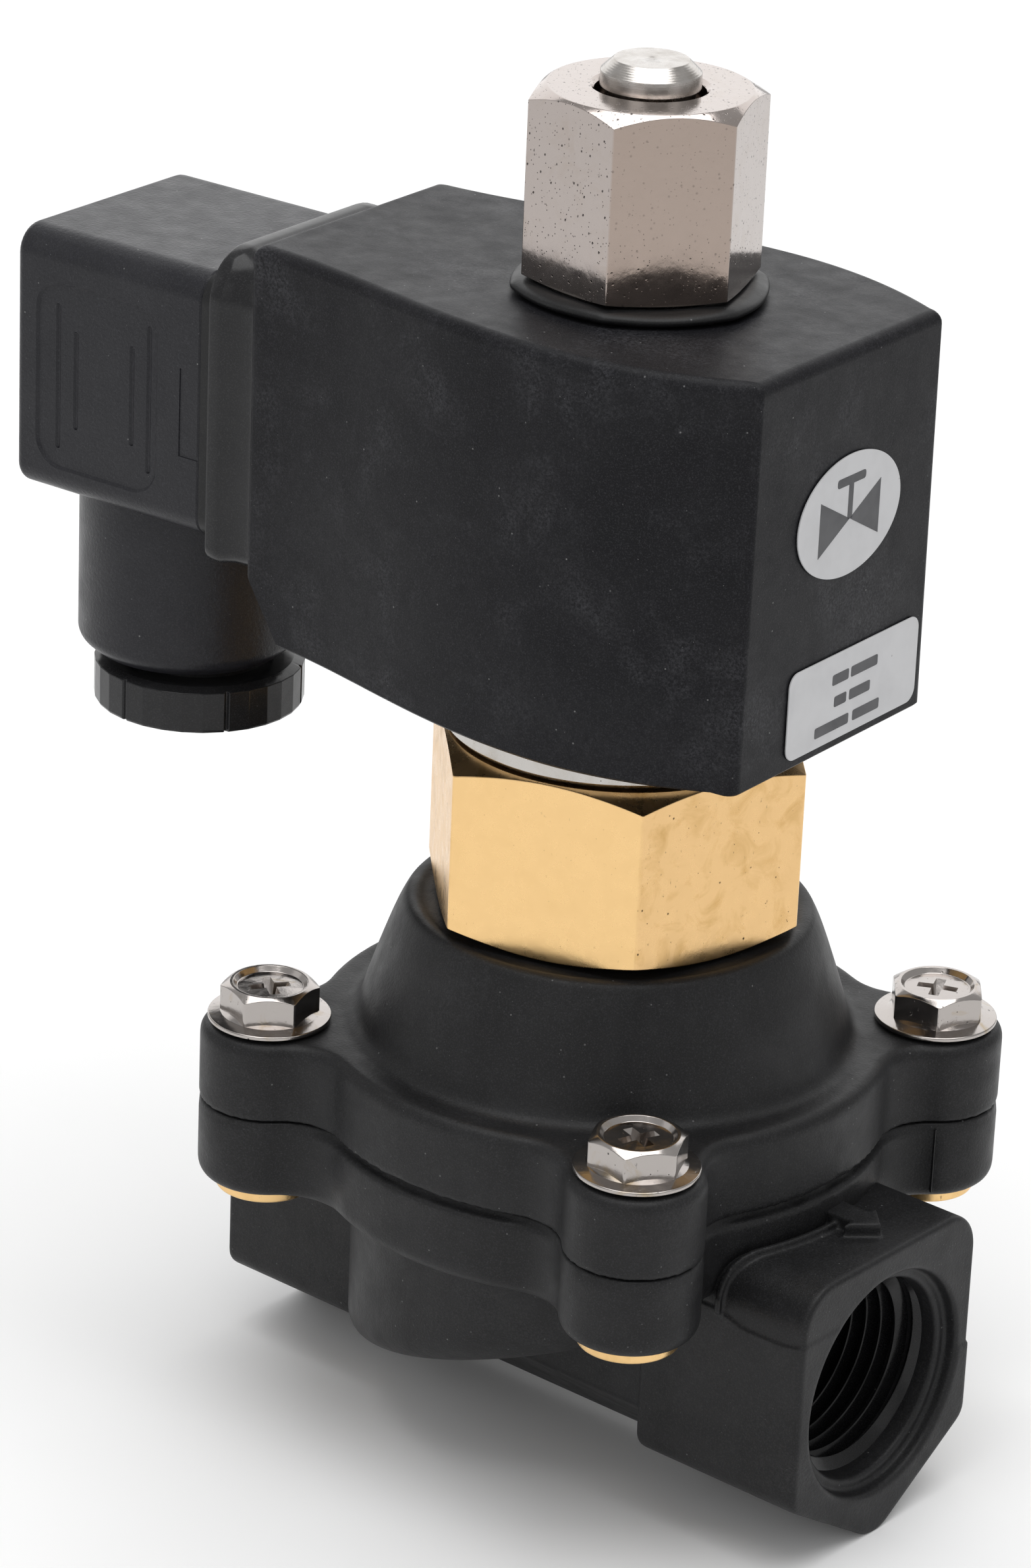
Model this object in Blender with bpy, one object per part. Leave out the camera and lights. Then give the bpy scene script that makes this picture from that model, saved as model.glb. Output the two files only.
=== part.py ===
"""Normally open, pilot operated diaphragm solenoid valve with a moulded body and G1/2 ports.

Frame: the origin is where the flow axis (X) crosses the stem axis (Z). The outlet port faces +X.
Lengths below are in millimetres and become metres where the meshes are made.
"""

import math

import bmesh
import bpy

MM = 0.001
GAP = 0.3  # clearance left between pieces that touch

# Flow path
FACE_X = 37.95  # port face, half of the face to face length
BLOCK_START_X = 17.8
PORT_HALF_WIDTH = 14.0
FLAT_BOTTOM_Z = -8.8
BLOCK_TOP_Z = 14.85
BLOCK_TOP_RADIUS = 4.5
RIDGE_Z = -17.35  # where the two lower faces would meet
RIDGE_RADIUS = 4.0
MID_CORNER_Z = -5.0
MID_RIDGE_Z = -16.5
MID_HALF_WIDTH = 13.75
PORT_MINOR_RADIUS = 9.32
PORT_RECESS_RADIUS = 11.95
PORT_RECESS_DEPTH = 1.6
THREAD_LENGTH = 16.0
PASSAGE_RADIUS = 7.0

COLLAR_WIDTH = 1.0  # rim where a port block runs into the flange
COLLAR_HEIGHT = 1.3
ARROW_TIP_X = 35.0
ARROW_HALF_WIDTH = 2.7
ARROW_RISE = 0.6

# Clamped flange and its four screw lobes
SCREW_HALF_PITCH = 23.96
LOBE_RADIUS = 6.95
WAIST_RADIUS = 29.4
LOBE_FILLET = 6.0
FLANGE_BOTTOM_Z = 10.74
PARTING_Z = 19.03
BONNET_TOP_Z = 27.42
DRUM_RADIUS = 25.0
DRUM_SLOPE = 0.35
DRUM_CENTRE_Z = -2.1

# Diaphragm chamber
CHAMBER_RADIUS = 21.5
CHAMBER_FLOOR_Z = 10.3
SEAT_OUTER_RADIUS = 10.0
SEAT_Z = 14.0
DIAPHRAGM_RADIUS = 27.0
DIAPHRAGM_THICKNESS = 1.2

# Bonnet
DOME_TOP_Z = 41.05
DOME_TOP_RADIUS = 20.9
DOME_BASE_RADIUS = 24.6
WEB_Z = (30.0, 32.5)
GUIDE_THREAD_RADIUS = 12.0
PILOT_ORIFICE_RADIUS = 1.0
PILOT_SEAT_Z = 33.8

# Guide and armature tube
HEX_ACROSS_FLATS = 34.8
HEX_CHAMFER = 1.1
HEX_LOWER_CHAMFER = 0.4
HEX_ANGLE = 16.4
RING_RADIUS = 17.4
RING_Z = (59.95, 63.6)
TUBE_RADIUS = 6.6
TUBE_BORE = 6.0
TUBE_TOP_Z = 104.1
CORE_Z = (43.0, 80.0)
PLUNGER_TRAVEL = 2.0
PLUNGER_Z = (82.3, 100.0)
PIN_RADIUS = 1.2
STUD_RADIUS = 5.1
STUD_TOP_Z = 127.85

# Coil
COIL_SWIVEL = 3.557  # the coil's angle to the flow axis as it is fitted
COIL_X = (-35.93, 24.87)
COIL_Z = (63.93, 104.81)
COIL_END_HALF_WIDTH = 15.0
COIL_MID_HALF_WIDTH = 20.9
COIL_WIDEST_X = 4.0
COIL_BORE = 6.95
COIL_CUT = 6.6
COIL_DRAFT = 0.9  # how much wider the coil is at its foot
BASE_X = -42.0  # face of the moulded plug base
BASE_HALF_WIDTH = 14.15
BASE_Z = (69.7, 102.35)

# Coil nut
NUT_ACROSS_FLATS = 20.5
NUT_Z = (106.35, 125.15)
NUT_ANGLE = 52.6

# Connector
CONNECTOR_X = (-67.66, -43.3)
CONNECTOR_Z = (71.83, 99.55)
CONNECTOR_HALF_WIDTH = 13.6
CONNECTOR_WALL = 2.0
BARREL_X = -55.3
GLAND_X = -53.8
BARREL_RADIUS = 11.6
BARREL_BOTTOM_Z = 53.85
BARREL_BORE = 7.7
GLAND_NUT_Z = (48.1, 52.9)
GLAND_NUT_RADIUS = 11.0
GLAND_NUT_ANGLE = -65.3
CABLE_HOLE_RADIUS = 4.5
GROMMET_TOP_Z = 68.5
CONNECTOR_SCREW_Z = 85.7

# Cover screws, M5 with a hexagon flange head
SCREW_FLANGE_RADIUS = 6.25
SCREW_SEAT_Z = 27.72
SCREW_TOP_Z = 31.5
SCREW_HEX_ACROSS_FLATS = 8.8
SCREW_TURNS = (42.0, 54.9, 9.5, 20.0)  # how far each screw happens to be turned
SCREW_RADIUS = 2.4
SCREW_END_Z = 10.2

ROUND = 32
FINE = 20
SMALL = 12


def clear_scene():
    for obj in list(bpy.data.objects):
        bpy.data.objects.remove(obj, do_unlink=True)


def make_material(name, colour, roughness, metallic=0.0):
    material = bpy.data.materials.new(name)
    material.use_nodes = True
    shader = material.node_tree.nodes["Principled BSDF"]
    shader.inputs["Base Color"].default_value = (*colour, 1.0)
    shader.inputs["Roughness"].default_value = roughness
    shader.inputs["Metallic"].default_value = metallic
    return material


clear_scene()
NYLON = make_material("black_glass_filled_nylon", (0.018, 0.018, 0.02), 0.55)
CONNECTOR_BLACK = make_material("connector_black", (0.014, 0.014, 0.016), 0.4)
GLOSS_BLACK = make_material("gloss_black_plastic", (0.01, 0.01, 0.012), 0.22)
RUBBER = make_material("black_rubber", (0.015, 0.015, 0.015), 0.65)
BRASS = make_material("brass", (0.72, 0.5, 0.16), 0.3, 1.0)
NICKEL = make_material("nickel_plate", (0.66, 0.61, 0.54), 0.22, 1.0)
STEEL = make_material("stainless_steel", (0.58, 0.58, 0.57), 0.3, 1.0)
ALUMINIUM = make_material("aluminium", (0.75, 0.75, 0.75), 0.35, 1.0)
COPPER = make_material("copper", (0.72, 0.33, 0.18), 0.35, 1.0)
SPRING_STEEL = make_material("spring_steel", (0.45, 0.45, 0.45), 0.3, 1.0)
LABEL = make_material("label_foil", (0.72, 0.73, 0.74), 0.45)
AMBER = make_material("bobbin_plastic", (0.3, 0.22, 0.12), 0.5)


# Outlines, as lists of points in a plane


def arc(centre, radius, start, end, steps):
    """Points on an arc, with angles in degrees."""
    points = []
    for step in range(steps + 1):
        angle = math.radians(start + (end - start) * step / steps)
        points.append((centre[0] + radius * math.cos(angle), centre[1] + radius * math.sin(angle)))
    return points


def circle(radius, steps, centre=(0.0, 0.0)):
    return arc(centre, radius, 0.0, 360.0, steps)[:-1]


def hexagon(across_flats, angle):
    corner_radius = across_flats / math.sqrt(3.0)
    return arc((0.0, 0.0), corner_radius, angle, angle + 360.0, 6)[:-1]


def rounded_rectangle(low, high, radius, low_radius=None, inset=0.0, steps=3):
    """Corners of one radius, or of another radius along the low side."""
    under = (radius if low_radius is None else low_radius) - inset
    over = radius - inset
    left, right = low[0] + inset, high[0] - inset
    bottom, top = low[1] + inset, high[1] - inset
    points = arc((right - over, top - over), over, 0.0, 90.0, steps)
    points += arc((left + over, top - over), over, 90.0, 180.0, steps)
    points += arc((left + under, bottom + under), under, 180.0, 270.0, steps)
    points += arc((right - under, bottom + under), under, 270.0, 360.0, steps)
    return points


def flange_outline(shrink=0.0):
    """A round flange with four screw lobes, joined to it by hollow fillets."""
    waist = WAIST_RADIUS - shrink
    lobe = LOBE_RADIUS - shrink
    fillet = LOBE_FILLET + shrink
    reach = SCREW_HALF_PITCH * math.sqrt(2.0)
    side = waist + fillet
    cosine = (side ** 2 + reach ** 2 - (lobe + fillet) ** 2) / (2.0 * side * reach)
    swing = math.degrees(math.acos(cosine))
    points = []
    for quarter in range(4):
        lobe_angle = 45.0 + 90.0 * quarter
        lobe_centre = polar(reach, lobe_angle)
        before = polar(side, lobe_angle - swing)
        after = polar(side, lobe_angle + swing)
        to_lobe = heading(before, lobe_centre)
        arrive = lobe_angle - swing + 180.0
        points += arc(before, fillet, arrive, turned_down(to_lobe, arrive), 3)
        lobe_start = heading(lobe_centre, before)
        lobe_end = turned_up(heading(lobe_centre, after), lobe_start)
        points += arc(lobe_centre, lobe, lobe_start, lobe_end, 10)[1:-1]
        from_lobe = heading(after, lobe_centre)
        leave = lobe_angle + swing + 180.0
        points += arc(after, fillet, turned_up(from_lobe, leave), leave, 3)
        points += arc((0.0, 0.0), waist, lobe_angle + swing, lobe_angle + 90.0 - swing, 4)[1:-1]
    return points


def polar(radius, angle):
    return (radius * math.cos(math.radians(angle)), radius * math.sin(math.radians(angle)))


def heading(start, end):
    return math.degrees(math.atan2(end[1] - start[1], end[0] - start[0]))


def turned_up(angle, above):
    """The same direction, as the first angle past `above`."""
    while angle < above:
        angle += 360.0
    while angle - 360.0 >= above:
        angle -= 360.0
    return angle


def turned_down(angle, below):
    while angle > below:
        angle -= 360.0
    while angle + 360.0 <= below:
        angle += 360.0
    return angle


def port_outline(grow=0.0):
    """The section of a port block in the YZ plane: flat sides and top, and a V underneath."""
    half = PORT_HALF_WIDTH + grow
    top_radius = BLOCK_TOP_RADIUS + grow
    inner = half - top_radius
    centre_z = BLOCK_TOP_Z - BLOCK_TOP_RADIUS
    slope = math.degrees(math.atan2(FLAT_BOTTOM_Z - RIDGE_Z, half))
    ridge_centre = (0.0, RIDGE_Z + RIDGE_RADIUS / math.cos(math.radians(slope)))
    points = arc(ridge_centre, RIDGE_RADIUS, 270.0 - slope, 270.0 + slope, 4)
    points.append((half, FLAT_BOTTOM_Z))
    points += arc((inner, centre_z), top_radius, 0.0, 90.0, 4)
    points += arc((-inner, centre_z), top_radius, 90.0, 180.0, 4)
    points.append((-half, FLAT_BOTTOM_Z))
    return points


def coil_half_width(x):
    """Half the coil's width: it swells out round the winding and is narrow at both ends."""
    swell = COIL_MID_HALF_WIDTH - COIL_END_HALF_WIDTH
    if x < COIL_WIDEST_X:
        along = (x - COIL_X[0]) / (COIL_WIDEST_X - COIL_X[0])
        return COIL_END_HALF_WIDTH + swell * (0.5 - 0.5 * math.cos(math.pi * along ** 0.9))
    along = (x - COIL_WIDEST_X) / (COIL_X[1] - COIL_WIDEST_X)
    return COIL_MID_HALF_WIDTH - swell * along ** 2


def coil_outline(inset=0.0, draft=0.0):
    """The coil seen from above: straight ends, sharp corners and swollen sides."""
    corner = 0.9
    steps = 12
    left, right = COIL_X[0] + inset, COIL_X[1] - inset
    front = []
    for step in range(steps + 1):
        x = left + corner + (right - left - 2.0 * corner) * step / steps
        wide = coil_half_width(x)
        share = (wide - COIL_END_HALF_WIDTH) / (COIL_MID_HALF_WIDTH - COIL_END_HALF_WIDTH)
        front.append((x, inset - wide - draft * max(0.0, share)))
    end_y = COIL_END_HALF_WIDTH - inset - corner
    near = 0.3 * corner
    cut_y = end_y + 0.7 * corner
    right_end = [(right - near, -cut_y), (right, -end_y), (right, end_y), (right - near, cut_y)]
    back = [(x, -y) for x, y in reversed(front)]
    left_end = [(left + near, cut_y), (left, end_y), (left, -end_y), (left + near, -cut_y)]
    return front + right_end + back + left_end


# Solids


def link_mesh(name, bm, material, cutter=False):
    """Makes an object from a mesh in millimetres, with flat faces kept and round faces smooth."""
    bmesh.ops.remove_doubles(bm, verts=bm.verts, dist=0.0005)
    bmesh.ops.recalc_face_normals(bm, faces=bm.faces)
    bmesh.ops.scale(bm, vec=(MM, MM, MM), verts=bm.verts)
    mesh = bpy.data.meshes.new(name)
    bm.to_mesh(mesh)
    bm.free()
    mesh.shade_smooth()
    mesh.set_sharp_from_angle(angle=math.radians(35.0))
    obj = bpy.data.objects.new(name, mesh)
    bpy.context.scene.collection.objects.link(obj)
    if cutter:
        obj.hide_render = True
        obj.display_type = "WIRE"
    else:
        mesh.materials.append(material)
    return obj


def prism(name, outline, low, high, material=None, axis="Z", cutter=False):
    """Extrudes an outline along an axis, from low to high."""
    return loft(name, [(low, outline), (high, outline)], material, axis, cutter)


def loft(name, layers, material=None, axis="Z", cutter=False):
    """Joins outlines with equally many points, each at its own place along an axis."""
    bm = bmesh.new()
    rings = []
    for place, outline in layers:
        if axis == "Z":
            rings.append([bm.verts.new((a, b, place)) for a, b in outline])
        elif axis == "Y":
            rings.append([bm.verts.new((a, place, b)) for a, b in outline])
        else:
            rings.append([bm.verts.new((place, a, b)) for a, b in outline])
    bm.faces.new(rings[0])
    bm.faces.new(rings[-1])
    for first, second in zip(rings, rings[1:]):
        for index in range(len(first)):
            following = (index + 1) % len(first)
            bm.faces.new((first[index], first[following], second[following], second[index]))
    return link_mesh(name, bm, material, cutter)


def slanted(name, outline, height, top):
    """A cutter or addition with an upright wall, a flat top and a foot of varying height."""
    bm = bmesh.new()
    low = [bm.verts.new((x, y, height(x))) for x, y in outline]
    high = [bm.verts.new((x, y, top)) for x, y in outline]
    bm.faces.new(low)
    bm.faces.new(high)
    for index in range(len(low)):
        following = (index + 1) % len(low)
        bm.faces.new((low[index], low[following], high[following], high[index]))
    return link_mesh(name, bm, None, cutter=True)


def turned(name, profile, material=None, steps=ROUND, centre=(0.0, 0.0), cutter=False):
    """Spins a closed profile of (radius, height) points round a vertical axis."""
    bm = bmesh.new()
    verts = [bm.verts.new((radius, 0.0, height)) for radius, height in profile]
    edges = []
    for index, vert in enumerate(verts):
        following = verts[(index + 1) % len(verts)]
        if vert.co.x > 0.0 or following.co.x > 0.0:
            edges.append(bm.edges.new((vert, following)))
    bmesh.ops.spin(
        bm,
        geom=verts + edges,
        cent=(0.0, 0.0, 0.0),
        axis=(0.0, 0.0, 1.0),
        angle=2.0 * math.pi,
        steps=steps,
    )
    bmesh.ops.translate(bm, vec=(centre[0], centre[1], 0.0), verts=bm.verts)
    return link_mesh(name, bm, material, cutter)


def along_x(obj, flip=False):
    """Lays a turned piece on its side: its height runs along +X, or along -X if flipped."""
    turn = math.pi / 2.0
    obj.rotation_euler = (0.0, -turn if flip else turn, 0.0)
    return obj


def cut(target, *cutters):
    for cutter in cutters:
        modifier = target.modifiers.new(cutter.name, "BOOLEAN")
        modifier.operation = "DIFFERENCE"
        modifier.object = cutter
        modifier.solver = "EXACT"


def join(target, *additions):
    for addition in additions:
        addition.hide_render = True
        addition.display_type = "WIRE"
        modifier = target.modifiers.new(addition.name, "BOOLEAN")
        modifier.operation = "UNION"
        modifier.object = addition
        modifier.solver = "EXACT"


def block(name, low, high, material=None, cutter=False):
    outline = [(low[0], low[1]), (high[0], low[1]), (high[0], high[1]), (low[0], high[1])]
    return prism(name, outline, low[2], high[2], material, cutter=cutter)


def ring_profile(inner, outer, low, high):
    return [(inner, low), (outer, low), (outer, high), (inner, high)]


def rod_profile(radius, low, high):
    return [(0.0, low), (radius, low), (radius, high), (0.0, high)]


def hex_solid(name, across_flats, angle, low, high, chamfer, low_chamfer, material):
    """A hexagon whose corners are turned off at its ends."""
    corner = across_flats / math.sqrt(3.0) + 0.1
    flat = across_flats / 2.0
    body = prism(name, hexagon(across_flats, angle), low, high, material)
    profile = [
        (corner + 4.0, low - 2.0),
        (corner + 4.0, high + 2.0),
        (flat, high + 2.0),
        (flat - 0.2, high),
        (corner, high - chamfer),
        (corner, low + low_chamfer),
        (flat - 0.2, low),
        (flat, low - 2.0),
    ]
    turning = turned(name + "_turning", profile, steps=36, cutter=True)
    cut(body, turning)
    return body


def helix(name, radius, wire, low, high, turns, material):
    """A compression spring: a wire of the given radius wound round the stem axis."""
    steps = 8
    sides = 4
    bm = bmesh.new()
    rings = []
    count = int(turns * steps)
    for index in range(count + 1):
        angle = 2.0 * math.pi * index / steps
        height = low + wire + (high - low - 2.0 * wire) * index / count
        ring = []
        for side in range(sides):
            turn = 2.0 * math.pi * side / sides
            out = radius + wire * math.cos(turn)
            rise = wire * math.sin(turn)
            ring.append(bm.verts.new((out * math.cos(angle), out * math.sin(angle), height + rise)))
        rings.append(ring)
    for first, second in zip(rings, rings[1:]):
        for side in range(sides):
            following = (side + 1) % sides
            bm.faces.new((first[side], first[following], second[following], second[side]))
    bm.faces.new(rings[0])
    bm.faces.new(reversed(rings[-1]))
    return link_mesh(name, bm, material)


# Body and bonnet


def drum_foot(x):
    """The drum's underside slopes up along the flow."""
    return DRUM_CENTRE_Z + DRUM_SLOPE * x


def make_valve_body():
    body = prism("valve_body", flange_outline(), FLANGE_BOTTOM_Z, PARTING_Z - GAP / 2.0, NYLON)
    drum = slanted("body_drum", circle(DRUM_RADIUS, 36), drum_foot, FLANGE_BOTTOM_Z + 2.0)
    middle_outline = [
        (0.0, MID_RIDGE_Z),
        (MID_HALF_WIDTH, MID_CORNER_Z),
        (MID_HALF_WIDTH, FLANGE_BOTTOM_Z + 1.0),
        (-MID_HALF_WIDTH, FLANGE_BOTTOM_Z + 1.0),
        (-MID_HALF_WIDTH, MID_CORNER_Z),
    ]
    reach = BLOCK_START_X + 1.0
    middle = prism("body_middle", middle_outline, -reach, reach, axis="X", cutter=True)
    outlet = prism("body_outlet", port_outline(), BLOCK_START_X, FACE_X, axis="X", cutter=True)
    inlet = prism("body_inlet", port_outline(), -FACE_X, -BLOCK_START_X, axis="X", cutter=True)
    join(body, drum, middle, outlet, inlet, port_collar(1.0), port_collar(-1.0), flow_arrow())

    port_profile = [
        (0.0, THREAD_LENGTH - 5.0),
        (PASSAGE_RADIUS, THREAD_LENGTH - 5.0),
        (PASSAGE_RADIUS, FACE_X - THREAD_LENGTH - 2.0),
        (PORT_MINOR_RADIUS, FACE_X - THREAD_LENGTH),
        (PORT_MINOR_RADIUS, FACE_X - PORT_RECESS_DEPTH - 1.2),
        (PORT_RECESS_RADIUS - 0.6, FACE_X - PORT_RECESS_DEPTH),
        (PORT_RECESS_RADIUS, FACE_X - PORT_RECESS_DEPTH),
        (PORT_RECESS_RADIUS, FACE_X + 2.0),
        (0.0, FACE_X + 2.0),
    ]
    outlet_profile = [(radius, height if height > THREAD_LENGTH else 0.0) for radius, height in port_profile]
    outlet_bore = along_x(turned("outlet_bore", outlet_profile, steps=28, cutter=True))
    inlet_bore = along_x(turned("inlet_bore", port_profile, steps=28, cutter=True), flip=True)
    seat_bore = turned("seat_bore", rod_profile(PASSAGE_RADIUS, 0.0, SEAT_Z + 1.0), steps=FINE, cutter=True)
    recess_floor = PARTING_Z - 1.5 * GAP - DIAPHRAGM_THICKNESS
    recess = turned(
        "rim_recess",
        rod_profile(DIAPHRAGM_RADIUS + GAP, recess_floor, PARTING_Z + 1.0),
        steps=ROUND,
        cutter=True,
    )
    chamber = turned(
        "chamber",
        [
            (SEAT_OUTER_RADIUS, CHAMBER_FLOOR_Z),
            (CHAMBER_RADIUS, CHAMBER_FLOOR_Z),
            (CHAMBER_RADIUS, PARTING_Z),
            (0.0, PARTING_Z),
            (0.0, SEAT_Z),
            (SEAT_OUTER_RADIUS - 1.0, SEAT_Z),
        ],
        steps=ROUND,
        cutter=True,
    )
    well = inlet_well()
    cut(body, outlet_bore, inlet_bore, seat_bore, recess, chamber, well)
    for x, y in screw_places():
        profile = rod_profile(3.9, 5.0, PARTING_Z + 1.0)
        hole = turned(f"lobe_hole_{x:.0f}_{y:.0f}", profile, steps=SMALL, centre=(x, y), cutter=True)
        cut(body, hole)
    return body


def port_collar(side):
    """A low rim along the flange, where a port block runs into it."""
    ends = sorted((side * BLOCK_START_X, side * (FACE_X - 4.0)))
    name = "outlet_collar" if side > 0.0 else "inlet_collar"
    collar = prism(name, port_outline(COLLAR_HEIGHT), ends[0], ends[1], axis="X", cutter=True)
    rim_outline = flange_outline(-COLLAR_WIDTH)
    rim = prism(name + "_rim", rim_outline, BLOCK_TOP_Z - 6.0, PARTING_Z - GAP, cutter=True)
    modifier = collar.modifiers.new(rim.name, "BOOLEAN")
    modifier.operation = "INTERSECT"
    modifier.object = rim
    modifier.solver = "EXACT"
    return collar


def flow_arrow():
    """A raised arrow on the outlet's block, pointing the way the fluid leaves."""
    tip, wide = ARROW_TIP_X, ARROW_HALF_WIDTH
    narrow = 0.55 * wide
    tail = WAIST_RADIUS - 1.0
    centre_y = 1.5
    outline = [
        (tail, centre_y - narrow),
        (tip - wide, centre_y - narrow),
        (tip - wide, centre_y - wide),
        (tip, centre_y),
        (tip - wide, centre_y + wide),
        (tip - wide, centre_y + narrow),
        (tail, centre_y + narrow),
    ]
    return prism("flow_arrow", outline, BLOCK_TOP_Z - 1.0, BLOCK_TOP_Z + ARROW_RISE, cutter=True)


def inlet_well():
    """The deep side of the annular chamber, where the inlet bore opens into it."""
    swing = 62.0
    outline = arc((0.0, 0.0), CHAMBER_RADIUS - 0.4, 180.0 - swing, 180.0 + swing, 12)
    outline += arc((0.0, 0.0), SEAT_OUTER_RADIUS + 0.4, 180.0 + swing, 180.0 - swing, 7)
    return slanted("inlet_well", outline, lambda x: drum_foot(x) + 3.0, CHAMBER_FLOOR_Z + 1.0)


def screw_places():
    """The four cover screws, in order round the stem from the -X -Y corner."""
    pitch = SCREW_HALF_PITCH
    return [(-pitch, -pitch), (pitch, -pitch), (pitch, pitch), (-pitch, pitch)]


def make_bonnet():
    low = PARTING_Z + GAP / 2.0
    bonnet = prism("bonnet", flange_outline(), low, BONNET_TOP_Z, NYLON)
    dome = turned(
        "bonnet_dome",
        [
            (0.0, BONNET_TOP_Z - 2.0),
            (DOME_BASE_RADIUS, BONNET_TOP_Z - 2.0),
            (DOME_BASE_RADIUS + 1.1, BONNET_TOP_Z),
            (DOME_BASE_RADIUS + 0.2, BONNET_TOP_Z + 0.9),
            (DOME_BASE_RADIUS - 0.3, BONNET_TOP_Z + 3.0),
            (23.2, 33.6),
            (22.0, 37.0),
            (DOME_TOP_RADIUS + 0.3, 39.4),
            (DOME_TOP_RADIUS - 0.2, 40.6),
            (DOME_TOP_RADIUS - 0.9, DOME_TOP_Z),
            (0.0, DOME_TOP_Z),
        ],
        steps=40,
        cutter=True,
    )
    join(bonnet, dome)
    cavity = turned(
        "bonnet_cavity",
        [
            (0.0, low - 1.0),
            (CHAMBER_RADIUS, low - 1.0),
            (CHAMBER_RADIUS, 23.5),
            (13.0, WEB_Z[0]),
            (0.0, WEB_Z[0]),
        ],
        steps=ROUND,
        cutter=True,
    )
    socket = turned(
        "guide_socket",
        [
            (PILOT_ORIFICE_RADIUS + 1.4, WEB_Z[1]),
            (GUIDE_THREAD_RADIUS + GAP, WEB_Z[1]),
            (GUIDE_THREAD_RADIUS + GAP, DOME_TOP_Z + 2.0),
            (0.0, DOME_TOP_Z + 2.0),
            (0.0, PILOT_SEAT_Z),
            (PILOT_ORIFICE_RADIUS + 0.6, PILOT_SEAT_Z),
        ],
        steps=24,
        cutter=True,
    )
    pilot_profile = rod_profile(PILOT_ORIFICE_RADIUS, WEB_Z[0] - 1.0, PILOT_SEAT_Z + 1.0)
    orifice = turned("pilot_orifice", pilot_profile, steps=10, cutter=True)
    bleed_profile = rod_profile(0.8, WEB_Z[0] - 1.0, WEB_Z[1] + 1.0)
    bleed = turned("bleed_hole", bleed_profile, steps=8, centre=(7.0, 0.0), cutter=True)
    cut(bonnet, cavity, socket, orifice, bleed)
    for x, y in screw_places():
        profile = rod_profile(SCREW_RADIUS + GAP, low - 1.0, BONNET_TOP_Z + 1.0)
        hole = turned(f"cover_hole_{x:.0f}_{y:.0f}", profile, steps=SMALL, centre=(x, y), cutter=True)
        cut(bonnet, hole)
    return bonnet


def make_fasteners():
    for number, (x, y) in enumerate(screw_places(), 1):
        turned(
            f"threaded_insert_{number}",
            [
                (SCREW_RADIUS + GAP, 9.35),
                (5.8, 9.35),
                (5.8, FLANGE_BOTTOM_Z - GAP),
                (3.6, FLANGE_BOTTOM_Z - GAP),
                (3.6, 17.0),
                (SCREW_RADIUS + GAP, 17.0),
            ],
            BRASS,
            steps=SMALL,
            centre=(x, y),
        )
        make_screw(number, x, y)


def make_screw(number, x, y):
    name = f"cover_screw_{number}"
    hexagon_bottom = SCREW_SEAT_Z + 0.8
    screw = turned(
        name,
        [
            (0.0, SCREW_END_Z),
            (SCREW_RADIUS, SCREW_END_Z),
            (SCREW_RADIUS, SCREW_SEAT_Z),
            (SCREW_FLANGE_RADIUS, SCREW_SEAT_Z),
            (SCREW_FLANGE_RADIUS, SCREW_SEAT_Z + 0.45),
            (4.6, SCREW_SEAT_Z + 1.25),
            (0.0, SCREW_SEAT_Z + 1.25),
        ],
        NICKEL,
        steps=16,
        centre=(x, y),
    )
    outline = [(x + a, y + b) for a, b in hexagon(SCREW_HEX_ACROSS_FLATS, SCREW_TURNS[number - 1])]
    head = prism(name + "_head", outline, hexagon_bottom, SCREW_TOP_Z, cutter=True)
    top = SCREW_TOP_Z
    dish = turned(
        name + "_dish",
        [(0.0, top - 0.9), (3.1, top - 0.6), (3.6, top + 1.0), (0.0, top + 1.0)],
        steps=SMALL,
        centre=(x, y),
        cutter=True,
    )
    join(screw, head)
    cut(screw, dish)


# Diaphragm


def make_diaphragm():
    """A clamped rubber disc: flat rim, sloping roll and a flat middle that lies on the seat."""
    rim_low = PARTING_Z - GAP / 2.0 - DIAPHRAGM_THICKNESS
    middle_low = SEAT_Z + GAP
    thick = DIAPHRAGM_THICKNESS
    lower = [(0.0, middle_low), (11.0, middle_low), (14.5, middle_low + 0.7)]
    lower += [(18.0, rim_low - 0.5), (21.0, rim_low), (DIAPHRAGM_RADIUS, rim_low)]
    upper = [(radius, height + thick) for radius, height in reversed(lower)]
    turned("diaphragm", lower + upper, RUBBER, steps=ROUND)
    plate_low = middle_low + thick + GAP
    turned(
        "diaphragm_plate",
        [
            (0.0, plate_low),
            (9.5, plate_low),
            (9.5, plate_low + 1.5),
            (4.2, plate_low + 1.5),
            (4.2, plate_low + 4.0),
            (0.0, plate_low + 4.0),
        ],
        STEEL,
        steps=FINE,
    )
    helix("diaphragm_spring", 5.6, 0.45, plate_low + 1.5 + GAP, WEB_Z[0] - GAP, 5, SPRING_STEEL)


# Guide, tube and moving core


def make_guide():
    low, high = DOME_TOP_Z + GAP, RING_Z[0] - GAP
    guide = hex_solid(
        "guide_hex_base", HEX_ACROSS_FLATS, HEX_ANGLE, low, high, HEX_CHAMFER, HEX_LOWER_CHAMFER, BRASS
    )
    stub_profile = rod_profile(GUIDE_THREAD_RADIUS, 35.0, DOME_TOP_Z + 2.0)
    stub = turned("guide_stub", stub_profile, steps=24, cutter=True)
    join(guide, stub)
    narrow = TUBE_RADIUS + GAP
    bore = turned(
        "guide_bore",
        [(0.0, 34.0), (9.0, 34.0), (9.0, 44.0), (narrow, 44.0), (narrow, 62.0), (0.0, 62.0)],
        steps=FINE,
        cutter=True,
    )
    cut(guide, bore)
    torus("guide_o_ring", 10.6, 0.85, 33.7, RUBBER)
    turned(
        "coil_seat_ring",
        ring_profile(TUBE_RADIUS + GAP, RING_RADIUS, RING_Z[0], RING_Z[1]),
        ALUMINIUM,
        steps=ROUND,
    )


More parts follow.
